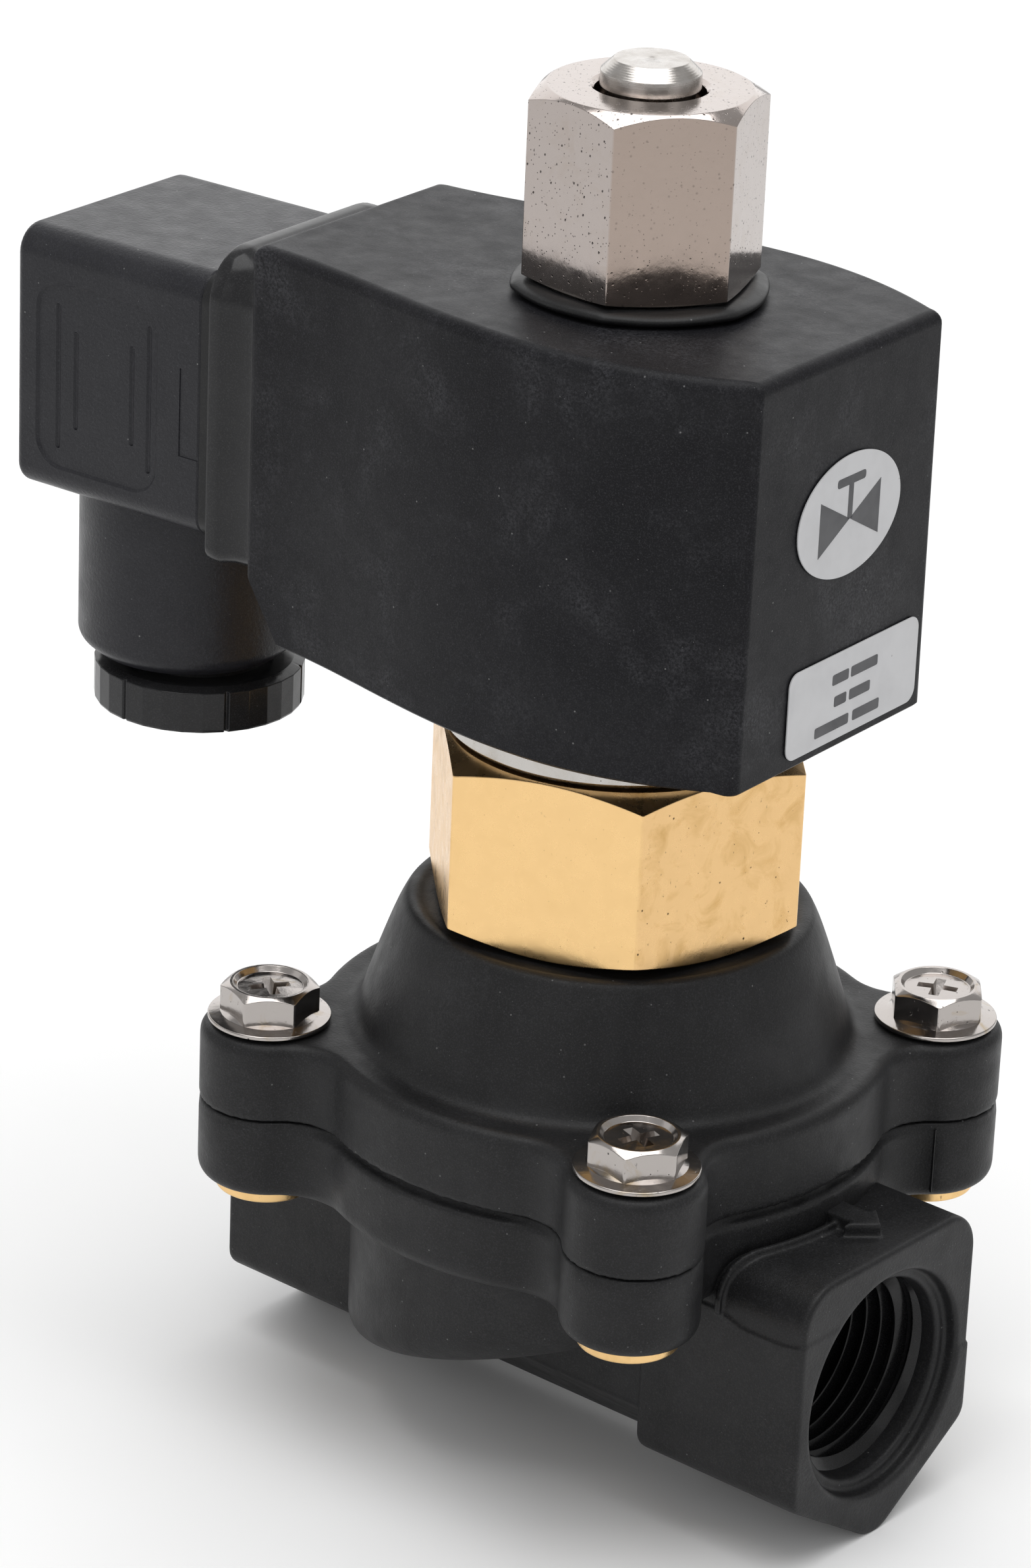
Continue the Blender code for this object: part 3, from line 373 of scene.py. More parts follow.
def turned(name, profile, steps=96, centre=(0.0, 0.0), hollow=False, wobble=None):
    """Spins (radius, height) points round a vertical axis. A hollow piece's profile is a closed loop."""
    bm = bmesh.new()
    rings = []
    for radius, height in profile:
        ring = []
        for step in range(1 if radius < 1e-6 else steps):
            angle = 2.0 * math.pi * step / steps
            out, rise = (0.0, 0.0) if wobble is None else wobble(angle)
            x = centre[0] + (radius + out) * math.cos(angle)
            y = centre[1] + (radius + out) * math.sin(angle)
            ring.append(bm.verts.new((x, y, height + rise)))
        rings.append(ring)
    pairs = list(zip(rings, rings[1:]))
    if hollow:
        pairs.append((rings[-1], rings[0]))
    for first, second in pairs:
        if len(first) == 1 and len(second) == 1:
            continue
        for step in range(steps):
            following = (step + 1) % steps
            corners = [first[0]] if len(first) == 1 else [first[step], first[following]]
            corners += [second[0]] if len(second) == 1 else [second[following], second[step]]
            bm.faces.new(corners)
    return plain_object(name, bm)


def rod(name, radius, low, high, steps, centre=(0.0, 0.0)):
    return turned(name, [(0.0, low), (radius, low), (radius, high), (0.0, high)], steps, centre)


def columns(name, outline, profile, centre=(0.0, 0.0)):
    """A turned head that isn't round: profile(radius) gives each column's closed (radius, height) loop."""
    bm = bmesh.new()
    made = []
    for x, y in outline:
        radius = math.hypot(x, y)
        made.append([
            bm.verts.new((centre[0] + x / radius * r, centre[1] + y / radius * r, z))
            for r, z in profile(radius)
        ])
    for index, first in enumerate(made):
        second = made[(index + 1) % len(made)]
        for step in range(len(first)):
            following = (step + 1) % len(first)
            bm.faces.new((first[step], second[step], second[following], first[following]))
    return plain_object(name, bm)


def laid_along_x(obj, height=0.0, flip=False):
    """Turns a vertical piece to run along +X, or -X when flipped, and lifts its axis to a height."""
    turn = Matrix.Rotation(-math.pi / 2.0 if flip else math.pi / 2.0, 4, "Y")
    obj.data.transform(Matrix.Translation((0.0, 0.0, height)) @ turn)
    return obj


def applied(obj):
    graph = bpy.context.evaluated_depsgraph_get()
    mesh = bpy.data.meshes.new_from_object(obj.evaluated_get(graph), depsgraph=graph)
    obj.modifiers.clear()
    obj.data = mesh
    return obj


def combine(target, operation, *others):
    """Boolean with each of the others in turn, which are used up."""
    for other in others:
        modifier = target.modifiers.new(other.name, "BOOLEAN")
        modifier.operation = operation
        modifier.object = other
        modifier.solver = "EXACT"
    applied(target)
    for other in others:
        bpy.data.objects.remove(other, do_unlink=True)
    return target


def moulded(obj, voxel):
    """Remeshes finely and relaxes, so that every edge gets the small radius of a moulding."""
    remesh = obj.modifiers.new("remesh", "REMESH")
    remesh.mode = "VOXEL"
    remesh.voxel_size = voxel
    smooth = obj.modifiers.new("smooth", "SMOOTH")
    smooth.factor = 0.5
    smooth.iterations = 2
    return applied(obj)


def finished(obj, material, body, angle=32.0, swivel=False, replaces=(), weighted=False):
    """Scales a millimetre mesh to metres, shades it, and hangs it on its body."""
    turn = Matrix.Rotation(SWIVEL if swivel else 0.0, 4, "Z")
    obj.data.transform(Matrix.Scale(MM, 4) @ turn)
    mesh = obj.data
    mesh.materials.clear()
    mesh.materials.append(material)
    mesh.shade_smooth()
    if angle:
        mesh.set_sharp_from_angle(angle=math.radians(angle))
    if weighted:
        modifier = obj.modifiers.new("weighted", "WEIGHTED_NORMAL")
        modifier.keep_sharp = True
        modifier.weight = 100
        applied(obj)
    if body:
        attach(obj, body)
    if replaces:
        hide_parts(*replaces)


# Materials


class Nodes:
    """A small builder for one material's node tree, in millimetres of the object's own space."""

    def __init__(self, name):
        self.material = bpy.data.materials.new(name)
        self.material.use_nodes = True
        self.tree = self.material.node_tree
        self.shader = self.tree.nodes["Principled BSDF"]
        coordinates = self.tree.nodes.new("ShaderNodeTexCoord")
        mapping = self.tree.nodes.new("ShaderNodeMapping")
        mapping.inputs["Scale"].default_value = (1000.0, 1000.0, 1000.0)
        self.tree.links.new(coordinates.outputs["Object"], mapping.inputs["Vector"])
        self.space = mapping.outputs["Vector"]
        self.own_normal = coordinates.outputs["Normal"]

    def link(self, source, target):
        self.tree.links.new(source, target)

    def stretched(self, scale):
        mapping = self.tree.nodes.new("ShaderNodeMapping")
        mapping.inputs["Scale"].default_value = scale
        self.link(self.space, mapping.inputs["Vector"])
        return mapping.outputs["Vector"]

    def noise(self, scale, detail=2.0, roughness=0.5, distortion=0.0, vector=None):
        node = self.tree.nodes.new("ShaderNodeTexNoise")
        node.inputs["Scale"].default_value = scale
        node.inputs["Detail"].default_value = detail
        node.inputs["Roughness"].default_value = roughness
        node.inputs["Distortion"].default_value = distortion
        self.link(vector or self.space, node.inputs["Vector"])
        return node.outputs["Fac"]

    def span(self, value, low, high, to_low=0.0, to_high=1.0):
        node = self.tree.nodes.new("ShaderNodeMapRange")
        node.inputs["From Min"].default_value = low
        node.inputs["From Max"].default_value = high
        node.inputs["To Min"].default_value = to_low
        node.inputs["To Max"].default_value = to_high
        self.link(value, node.inputs["Value"])
        return node.outputs["Result"]

    def calc(self, operation, first, second=0.0):
        node = self.tree.nodes.new("ShaderNodeMath")
        node.operation = operation
        for value, socket in ((first, node.inputs[0]), (second, node.inputs[1])):
            if isinstance(value, (int, float)):
                socket.default_value = value
            else:
                self.link(value, socket)
        return node.outputs["Value"]

    def mix(self, factor, first, second):
        node = self.tree.nodes.new("ShaderNodeMix")
        node.data_type = "RGBA"
        self.link(factor, node.inputs["Factor"])
        for value, socket in ((first, node.inputs[6]), (second, node.inputs[7])):
            if isinstance(value, tuple):
                socket.default_value = (*value, 1.0)
            else:
                self.link(value, socket)
        return node.outputs[2]

    def bump(self, height, depth, normal=None):
        """Depth is in millimetres."""
        node = self.tree.nodes.new("ShaderNodeBump")
        node.inputs["Strength"].default_value = 1.0
        node.inputs["Distance"].default_value = depth * MM
        self.link(height, node.inputs["Height"])
        if normal is not None:
            self.link(normal, node.inputs["Normal"])
        return node.outputs["Normal"]

    def specks(self, scale, size, share):
        """A mask of small round spots in a share of the cells."""
        cells = self.tree.nodes.new("ShaderNodeTexVoronoi")
        cells.inputs["Scale"].default_value = scale
        self.link(self.space, cells.inputs["Vector"])
        split = self.tree.nodes.new("ShaderNodeSeparateColor")
        self.link(cells.outputs["Color"], split.inputs["Color"])
        near = self.span(cells.outputs["Distance"], size, size * 0.4)
        chosen = self.calc("LESS_THAN", split.outputs["Red"], share)
        return self.calc("MULTIPLY", near, chosen)

    # Mask for the painted light and shade that the hexagon metals put on every other flat.
    def every_other_flat(self, corner_angle):
        """One on every other flat of a hexagon round the Z axis, nought on the rest and on the ends."""
        split = self.tree.nodes.new("ShaderNodeSeparateXYZ")
        self.link(self.space, split.inputs["Vector"])
        angle = self.calc("ARCTAN2", split.outputs["Y"], split.outputs["X"])
        turned_angle = self.calc("SUBTRACT", angle, math.radians(corner_angle))
        chosen = self.span(self.calc("SINE", self.calc("MULTIPLY", turned_angle, 3.0)), -0.03, 0.03)
        facing = self.tree.nodes.new("ShaderNodeSeparateXYZ")
        self.link(self.own_normal, facing.inputs["Vector"])
        upright = self.span(self.calc("ABSOLUTE", facing.outputs["Z"]), 0.12, 0.3, 1.0, 0.0)
        return self.calc("MULTIPLY", chosen, upright)

    def set(self, name, value):
        socket = self.shader.inputs[name]
        if isinstance(value, tuple):
            socket.default_value = (*value, 1.0)
        elif isinstance(value, (int, float)):
            socket.default_value = value
        else:
            self.link(value, socket)


def scaled(colour, factor):
    return tuple(factor * part for part in colour)


def plastic(name, dark, light, rough, grain, cloud_scale=0.09, speck=(0.16, 0.16, 0.16), speck_share=0.05,
            mottled=0.4, shine=0.25, dust=0.3):
    """Moulded plastic: cloudy tone, fine mottling, dusty patches, pale flecks and a fine grain.

    Grain is the scale of the finest bumps and their depth.
    """
    nodes = Nodes(name)
    cloud = nodes.span(nodes.noise(cloud_scale, 4.0, 0.55, 0.6), 0.42, 0.72)
    mottle = nodes.span(nodes.noise(1.7, 3.0, 0.65), 0.35, 0.75)
    mottle = nodes.calc("ADD", nodes.calc("MULTIPLY", mottle, mottled), 1.0 - mottled)
    colour = nodes.mix(nodes.calc("MULTIPLY", mottle, cloud), dark, light)
    grit = nodes.span(nodes.noise(6.5, 2.0, 0.7), 0.5, 0.8)
    colour = nodes.mix(nodes.calc("MULTIPLY", grit, 0.8), colour, scaled(light, 2.1))
    patches = nodes.span(nodes.noise(0.11, 4.0, 0.65, 0.4), 0.5, 0.68)
    powder = nodes.calc("MULTIPLY", patches, nodes.span(nodes.noise(3.4, 4.0, 0.75), 0.44, 0.72))
    colour = nodes.mix(nodes.calc("MULTIPLY", powder, dust), colour, scaled(light, 3.4))
    small_flecks = nodes.specks(2.3, 0.12, speck_share * 0.6)
    flecks = nodes.calc("MAXIMUM", nodes.specks(1.1, 0.13, speck_share), small_flecks)
    nodes.set("Base Color", nodes.mix(flecks, colour, speck))
    nodes.set("Roughness", nodes.span(nodes.noise(0.35, 5.0, 0.6), 0.3, 0.7, rough - 0.06, rough + 0.06))
    nodes.set("Specular IOR Level", shine)
    fine = nodes.bump(nodes.noise(grain[0], 3.0, 0.6), grain[1])
    nodes.set("Normal", nodes.bump(nodes.noise(0.25, 2.0), 0.05, fine))
    return nodes.material


def metal(name, colour, stain, rough, ripple=0.004, pits=0.0, streaks=None, stain_span=(0.5, 0.8),
          rough_swing=0.05, painted_flats=None):
    """Plated or machined metal: faint stains, uneven polish, ripple, pits and tool marks.

    Streaks is the stretch of the tool marks and their depth. The last argument is the angle of a hexagon's
    first corner and a tone painted on every other flat as painted light and shade, standing in for how light
    falls on alternate flats; these flats have fewer pits.
    """
    nodes = Nodes(name)
    cloud = nodes.span(nodes.noise(0.3, 5.0, 0.6, 0.8), *stain_span)
    tone = nodes.mix(cloud, colour, stain)
    # Painted light and shade: every other flat of a hexagon gets its own tone, for how the light falls on
    # alternate flats.
    painted_flat_mask = nodes.every_other_flat(painted_flats[0]) if painted_flats else None
    if painted_flats:
        tone = nodes.mix(nodes.span(painted_flat_mask, 0.0, 1.0, 0.0, 0.9), tone, painted_flats[1])
    normal = nodes.bump(nodes.noise(0.9, 3.0, 0.5), ripple)
    if streaks:
        marks = nodes.noise(1.0, 4.0, 0.7, 0.0, nodes.stretched(streaks[0]))
        normal = nodes.bump(marks, streaks[1], normal)
    if pits:
        holes = nodes.calc("MAXIMUM", nodes.specks(1.3, 0.19, pits), nodes.specks(2.9, 0.2, pits))
        patches = nodes.span(nodes.noise(0.12, 2.0), 0.45, 0.6)
        scratches = nodes.noise(2.6, 4.0, 0.7, 0.0, nodes.stretched((1.0, 1.0, 0.5)))
        scratches = nodes.span(scratches, 0.66, 0.7)
        scratches = nodes.calc("MULTIPLY", scratches, patches)
        marks = nodes.calc("MAXIMUM", holes, nodes.calc("MULTIPLY", scratches, 0.7))
        if painted_flats:
            marks = nodes.calc("MULTIPLY", marks, nodes.span(painted_flat_mask, 0.0, 1.0, 1.0, 0.3))
        tone = nodes.mix(marks, tone, scaled(colour, 0.12))
        normal = nodes.bump(marks, -0.02, normal)
    nodes.set("Base Color", tone)
    nodes.set("Metallic", 1.0)
    polish = nodes.noise(0.5, 6.0, 0.65)
    nodes.set("Roughness", nodes.span(polish, 0.3, 0.7, rough - rough_swing, rough + rough_swing))
    nodes.set("Normal", normal)
    return nodes.material


VALVE_NYLON = plastic(
    "valve_nylon", (0.008, 0.008, 0.0085), (0.017, 0.017, 0.018), 0.46, (3.2, 0.035),
    speck=(0.11, 0.11, 0.11), speck_share=0.1,
)
COIL_NYLON = plastic(
    "coil_nylon", (0.0065, 0.0065, 0.008), (0.019, 0.019, 0.021), 0.42, (4.0, 0.016),
    cloud_scale=0.05, speck_share=0.07, mottled=0.75, shine=0.13, dust=0.75,
)
CONNECTOR_BLACK = plastic(
    "connector_black", (0.013, 0.013, 0.016), (0.02, 0.02, 0.023), 0.36, (2.6, 0.05),
    cloud_scale=0.08, speck_share=0.06, dust=0.15,
)
GLOSS_BLACK = plastic(
    "gloss_black", (0.014, 0.014, 0.015), (0.021, 0.021, 0.022), 0.2, (1.2, 0.006),
    speck_share=0.01, dust=0.0,
)
THREAD_BLACK = plastic(
    "thread_black", (0.006, 0.006, 0.0065), (0.01, 0.01, 0.0105), 0.17, (1.6, 0.006),
    speck_share=0.0, dust=0.0,
)
RUBBER = plastic(
    "black_rubber", (0.009, 0.009, 0.0095), (0.014, 0.014, 0.0145), 0.38, (2.6, 0.01),
    speck_share=0.02, dust=0.0,
)
BOBBIN = plastic(
    "bobbin_plastic", (0.24, 0.17, 0.09), (0.3, 0.22, 0.12), 0.45, (3.0, 0.01),
    speck=(0.1, 0.07, 0.04), dust=0.0,
)
# Every other flat of the nut is painted darker: painted shade.
NICKEL = metal(
    "nickel_plate", (0.44, 0.39, 0.365), (0.41, 0.355, 0.32), 0.13, 0.012, 0.5,
    stain_span=(0.5, 0.75), rough_swing=0.04, painted_flats=(NUT_ANGLE, (0.385, 0.31, 0.265)),
)
SCREW_PLATING = metal(
    "screw_plating", (0.42, 0.39, 0.37), (0.36, 0.3, 0.22), 0.17, 0.02, 0.05,
    stain_span=(0.56, 0.74), rough_swing=0.06,
)
BRASS = metal(
    "brass", (0.87, 0.585, 0.27), (0.74, 0.48, 0.2), 0.3, 0.015, 0.015, ((0.12, 0.12, 1.6), 0.004),
    stain_span=(0.48, 0.8), rough_swing=0.06,
)
# Every other flat of the guide hex is painted lighter: painted highlight.
GUIDE_BRASS = metal(
    "guide_brass", (0.78, 0.515, 0.245), (0.6, 0.37, 0.14), 0.29, 0.015, 0.03, ((0.12, 0.12, 1.6), 0.005),
    stain_span=(0.5, 0.78), rough_swing=0.06, painted_flats=(HEX_ANGLE, (0.875, 0.59, 0.275)),
)
STEEL = metal(
    "stainless_steel", (0.58, 0.56, 0.54), (0.5, 0.47, 0.44), 0.24, streaks=((0.3, 0.3, 6.0), 0.006)
)
SPRING_STEEL = metal("spring_steel", (0.45, 0.45, 0.46), (0.36, 0.35, 0.34), 0.28)
ALUMINIUM = metal(
    "aluminium", (0.52, 0.5, 0.475), (0.44, 0.41, 0.36), 0.26, 0.01, 0.01, ((0.2, 0.2, 5.0), 0.005)
)
COPPER = metal("copper", (0.72, 0.33, 0.18), (0.5, 0.2, 0.1), 0.32)


def machined_steel():
    """Bright turned bar: rings round the stem axis from the tool, on the top as well as the sides."""
    nodes = Nodes("machined_steel")
    wave = nodes.tree.nodes.new("ShaderNodeTexWave")
    wave.wave_type = "RINGS"
    wave.rings_direction = "Z"
    wave.inputs["Scale"].default_value = 1.6
    wave.inputs["Distortion"].default_value = 1.2
    wave.inputs["Detail"].default_value = 3.0
    nodes.link(nodes.space, wave.inputs["Vector"])
    lines = nodes.noise(1.0, 5.0, 0.7, 0.0, nodes.stretched((0.1, 0.1, 7.0)))
    normal = nodes.bump(wave.outputs["Fac"], 0.004)
    normal = nodes.bump(lines, 0.012, normal)
    stains = nodes.span(nodes.noise(0.6, 4.0), 0.45, 0.75)
    nodes.set("Base Color", nodes.mix(stains, (0.5, 0.475, 0.45), (0.37, 0.34, 0.31)))
    nodes.set("Metallic", 1.0)
    nodes.set("Roughness", nodes.span(nodes.noise(1.5, 5.0), 0.3, 0.7, 0.17, 0.3))
    nodes.set("Normal", normal)
    return nodes.material


def printed_foil(name, colour, shade):
    """Matt label film, very slightly uneven, with faint scuffs."""
    nodes = Nodes(name)
    tone = nodes.mix(nodes.span(nodes.noise(0.2, 4.0), 0.4, 0.7), colour, shade)
    scuffs = nodes.specks(0.9, 0.12, 0.04)
    nodes.set("Base Color", nodes.mix(scuffs, tone, scaled(colour, 0.6)))
    nodes.set("Roughness", nodes.span(nodes.noise(0.8, 4.0), 0.3, 0.7, 0.4, 0.55))
    nodes.set("Normal", nodes.bump(nodes.noise(0.35, 3.0), 0.02))
    return nodes.material


MACHINED = machined_steel()
LABEL = printed_foil("label_foil", (0.56, 0.56, 0.57), (0.52, 0.52, 0.53))
INK = printed_foil("label_ink", (0.05, 0.05, 0.055), (0.07, 0.07, 0.075))


# Body and bonnet


def drum():
    """Round chamber under the flange, with a sloping, well rounded underside."""
    rings = []
    for inset, lift in quarter_round(8):
        ring = circle(DRUM_RADIUS - DRUM_EDGE_RADIUS * inset, 144)
        foot = DRUM_CENTRE_Z + DRUM_EDGE_RADIUS * lift
        rings.append([(x, y, foot + DRUM_SLOPE * x) for x, y in ring])
    rings.append([(x, y, FLANGE_BOTTOM_Z + 2.0) for x, y in circle(DRUM_RADIUS, 144)])
    return sections("drum", rings)


def eased_layers(outline_at, low, high, low_radius, high_radius, steps=5):
    """Layers of a flange whose lower and upper edges are rounded."""
    edge = list(quarter_round(steps))
    foot = [(low + low_radius * rise, outline_at(low_radius * inset)) for rise, inset in reversed(edge)]
    return foot + [(high - high_radius * drop, outline_at(high_radius * inset)) for drop, inset in edge]


def bore_cutter(side):
    """The passage, the thread's hole and the recess of one port."""
    end = 0.0 if side > 0.0 else 11.0
    profile = [
        (0.0, end), (PASSAGE_RADIUS, end), (PASSAGE_RADIUS, FACE_X - THREAD_LENGTH - 2.0),
        (THREAD_MAJOR, FACE_X - THREAD_LENGTH), (THREAD_MAJOR, FACE_X - RECESS_DEPTH - 1.5),
        (THREAD_MAJOR + 0.12, FACE_X - RECESS_DEPTH - 0.3), (THREAD_MAJOR + 0.4, FACE_X - RECESS_DEPTH),
        (RECESS_RADIUS - 0.1, FACE_X - RECESS_DEPTH), (RECESS_RADIUS, FACE_X - 0.4),
        (RECESS_RADIUS + 0.5, FACE_X + 0.1), (RECESS_RADIUS + 0.5, FACE_X + 2.0), (0.0, FACE_X + 2.0),
    ]
    return laid_along_x(turned("bore", profile), 0.0, side < 0.0)


def block_loft(name, outline, end, side):
    """A port block's bar, with its ends' edges eased."""
    layers = [(side * at, inset_outline(outline, inset)) for at, inset in (
        (BLOCK_START_X, 0.4), (BLOCK_START_X + 0.3, 0.1), (BLOCK_START_X + 0.8, 0.0),
        (end - 0.5, 0.0), (end - 0.18, 0.1), (end, 0.38),
    )]
    return loft(name, layers, "X")


def port_block(side):
    """A port block, with the step of the mould seam, the rim that hugs the flange and the flow arrow."""
    name = "outlet_block" if side > 0.0 else "inlet_block"
    block = block_loft(name, port_outline(), FACE_X - 0.1, side)
    skin = block_loft("skin", port_outline(SEAM_STEP), FACE_X, side)
    inner, outer, foot = side * 15.0, side * 45.0, -25.0
    below = [(inner, foot), (outer, foot), (outer, SEAM_LINE[-1][1] + 0.1)]
    below += [(side * x, z) for x, z in reversed(SEAM_LINE)] + [(inner, SEAM_LINE[0][1])]
    far = [(inner, foot), (outer, foot), (outer, FAR_SEAM_Z), (inner, FAR_SEAM_Z)]
    below = combine(prism("below", below, -20.0, 0.5, "Y"), "UNION", prism("far", far, 0.0, 20.0, "Y"))
    combine(skin, "INTERSECT", below)
    ends = sorted((side * BLOCK_START_X, side * (FACE_X - 3.0)))
    rim = loft("rim", [(at, port_outline(RIM_HEIGHT)) for at in ends], "X")
    reach, start = (flange_outline(-distance) for distance in reversed(RIM_REACH))
    combine(rim, "INTERSECT", prism("reach", reach, RIM_FOOT_Z, PARTING_Z - 1.0))
    combine(rim, "INTERSECT", box("near", (-45.0, -20.0, 0.0), (45.0, RIM_END_Y, 25.0)))
    combine(rim, "DIFFERENCE", prism("start", start, RIM_FOOT_Z - 3.0, PARTING_Z + 1.0))
    combine(block, "UNION", skin, rim)
    if side > 0.0:
        combine(block, "UNION", flow_arrow())
    hollow = [(0.0, 3.0), (23.5, 3.0), (23.5, 25.0), (0.0, 25.0)]
    combine(block, "DIFFERENCE", turned("hollow", hollow, 96), bore_cutter(side))
    moulded(block, FINE_VOXEL)
    finished(block, VALVE_NYLON, "valve", 0.0)


def flow_arrow():
    """The raised arrow on top of the outlet block, which points out of the port."""
    tip, wide, narrow = 35.0, 2.7, 1.5
    tail, middle = WAIST_RADIUS - 1.0, 1.5
    barb = tip - wide
    outline = [
        (tail, middle - narrow), (barb, middle - narrow), (barb, middle - wide), (tip, middle),
        (barb, middle + wide), (barb, middle + narrow), (tail, middle + narrow),
    ]
    top = BLOCK_TOP_Z + 1.4
    eased = inset_outline(outline, 0.15)
    return loft("arrow", [(BLOCK_TOP_Z - 1.0, outline), (top - 0.2, outline), (top, eased)])


def hollowed_rim():
    """The body's upper edge: tight under the lobes, and sunk in between, where the moulding has shrunk."""
    result = []
    for x, y in flange_outline():
        angle = math.atan2(y, x)
        between = math.cos(2.0 * angle) ** 2
        uneven = noise.noise(Vector((x * 0.35, y * 0.35, 4.0)))
        uneven += 0.5 * noise.noise(Vector((x * 1.1, y * 1.1, 9.0)))
        sink = 0.12 + 0.95 * min(1.0, 1.6 * between) + 0.16 * uneven
        share = 1.0 - max(0.0, sink) / math.hypot(x, y)
        result.append((x * share, y * share))
    return result


def screw_places():
    pitch = SCREW_HALF_PITCH
    return [(-pitch, -pitch), (pitch, -pitch), (pitch, pitch), (-pitch, pitch)]


def valve_body():
    top = PARTING_Z - PARTING_GAP / 2.0
    layers = eased_layers(flange_outline, FLANGE_BOTTOM_Z, top - 1.0, FLANGE_EDGE_RADIUS, 0.02)
    layers += [(top - 0.62, hollowed_rim()), (top, hollowed_rim())]
    body = loft("valve_shell", layers)
    half, middle_top = MID_HALF_WIDTH, FLANGE_BOTTOM_Z + 1.0
    corners = [
        (0.0, MID_RIDGE_Z, 1.5), (half, MID_CORNER_Z, 1.0), (half, middle_top, 0.0), (-half, middle_top, 0.0),
        (-half, MID_CORNER_Z, 1.0),
    ]
    middle = prism("middle", rounded(corners, 6), -BLOCK_START_X - 1.0, BLOCK_START_X + 1.0, "X")
    combine(body, "UNION", drum(), middle)
    cutters = [bore_cutter(1.0), bore_cutter(-1.0)]
    cutters.append(rod("seat_bore", PASSAGE_RADIUS, 0.0, SEAT_Z + 1.0, 64))
    floor = PARTING_Z - 1.5 * GAP - DIAPHRAGM_THICKNESS
    rim = DIAPHRAGM_RADIUS + GAP
    cutters.append(turned("chamber", [
        (0.0, SEAT_Z), (SEAT_OUTER_RADIUS - 1.0, SEAT_Z), (SEAT_OUTER_RADIUS, CHAMBER_FLOOR_Z),
        (CHAMBER_RADIUS, CHAMBER_FLOOR_Z), (CHAMBER_RADIUS, floor), (rim, floor), (rim, 21.0), (0.0, 21.0),
    ], 128))
    outline = arc((0.0, 0.0), CHAMBER_RADIUS - 0.4, 118.0, 242.0, 24)
    outline += arc((0.0, 0.0), SEAT_OUTER_RADIUS + 0.4, 242.0, 118.0, 16)
    foot = [(x, y, DRUM_CENTRE_Z + DRUM_SLOPE * x + 3.0) for x, y in outline]
    cutters.append(sections("well", [foot, [(x, y, CHAMBER_FLOOR_Z + 1.0) for x, y in outline]]))
    for place in screw_places():
        cutters.append(rod("hole", 3.9, 5.0, PARTING_Z + 1.0, 32, place))
    combine(body, "DIFFERENCE", *cutters)
    moulded(body, VOXEL)
    finished(body, VALVE_NYLON, "valve", 0.0, replaces=("valve_body",))
    port_block(1.0)
    port_block(-1.0)


def mould_line():
    """The thin flash left down the outer wall of one screw boss, where the two halves of the mould met."""
    facing = math.radians(-48.0)
    outline = []
    for along, across in ((-0.3, -0.13), (0.1, -0.1), (0.2, 0.0), (0.1, 0.1), (-0.3, 0.13)):
        reach = LOBE_RADIUS + along
        outline.append((
            SCREW_HALF_PITCH + reach * math.cos(facing) - across * math.sin(facing),
            SCREW_HALF_PITCH + reach * math.sin(facing) + across * math.cos(facing),
        ))
    line = prism("mould_line", outline, FLANGE_BOTTOM_Z + 1.0, PARTING_Z - 0.7)
    finished(line, VALVE_NYLON, "valve", 40.0)


def closed_turn(name, loop, steps=96, centre=(0.0, 0.0)):
    """Spins a loop that has an edge on the axis."""
    on_axis = [radius < 1e-6 for radius, _ in loop]
    start = next(i for i, here in enumerate(on_axis) if here and on_axis[(i + 1) % len(loop)])
    return turned(name, loop[start + 1:] + loop[:start + 1], steps, centre)


def port_thread(name, side):
    """The internal thread: one ridge with a rounded crest, faded in at both ends."""
    steps = 72
    start, end = FACE_X - THREAD_LENGTH + 1.0, FACE_X - RECESS_DEPTH - 2.0
    turns = (end - start) / THREAD_PITCH
    count = int(turns * steps)
    root = THREAD_MAJOR + 0.3
    flank = [
        (root, 0.86), (THREAD_MAJOR - 0.2, 0.66), (THREAD_MINOR + 0.16, 0.1), (THREAD_MINOR + 0.04, 0.05),
    ]
    section = [(radius, -along) for radius, along in flank] + [(THREAD_MINOR, 0.0)] + flank[::-1]
    rings = []
    for index in range(count + 1):
        angle = 2.0 * math.pi * index / steps
        fade = min(1.0, index / 30.0, (count - index) / 30.0)
        ring = []
        for radius, along in section:
            faded = root - (root - radius) * fade if radius < root else root
            x = side * (start + (end - start) * index / count + along)
            ring.append((x, faded * math.cos(angle), side * faded * math.sin(angle)))
        rings.append(ring)
    thread = sections(name, rings)
    finished(thread, THREAD_BLACK, "valve", 40.0)


def smooth_curve(points):
    """A Catmull-Rom curve through the points."""
    steps = 6
    result = []
    for index in range(len(points) - 1):
        a = Vector(points[max(0, index - 1)])
        b = Vector(points[index])
        c = Vector(points[index + 1])
        d = Vector(points[min(len(points) - 1, index + 2)])
        for step in range(steps):
            t = step / steps
            point = 0.5 * (2.0 * b + (c - a) * t + (2.0 * a - 5.0 * b + 4.0 * c - d) * t * t
                           + (3.0 * b - 3.0 * c + d - a) * t ** 3)
            result.append((point.x, point.y))
    result.append(tuple(points[-1]))
    return result


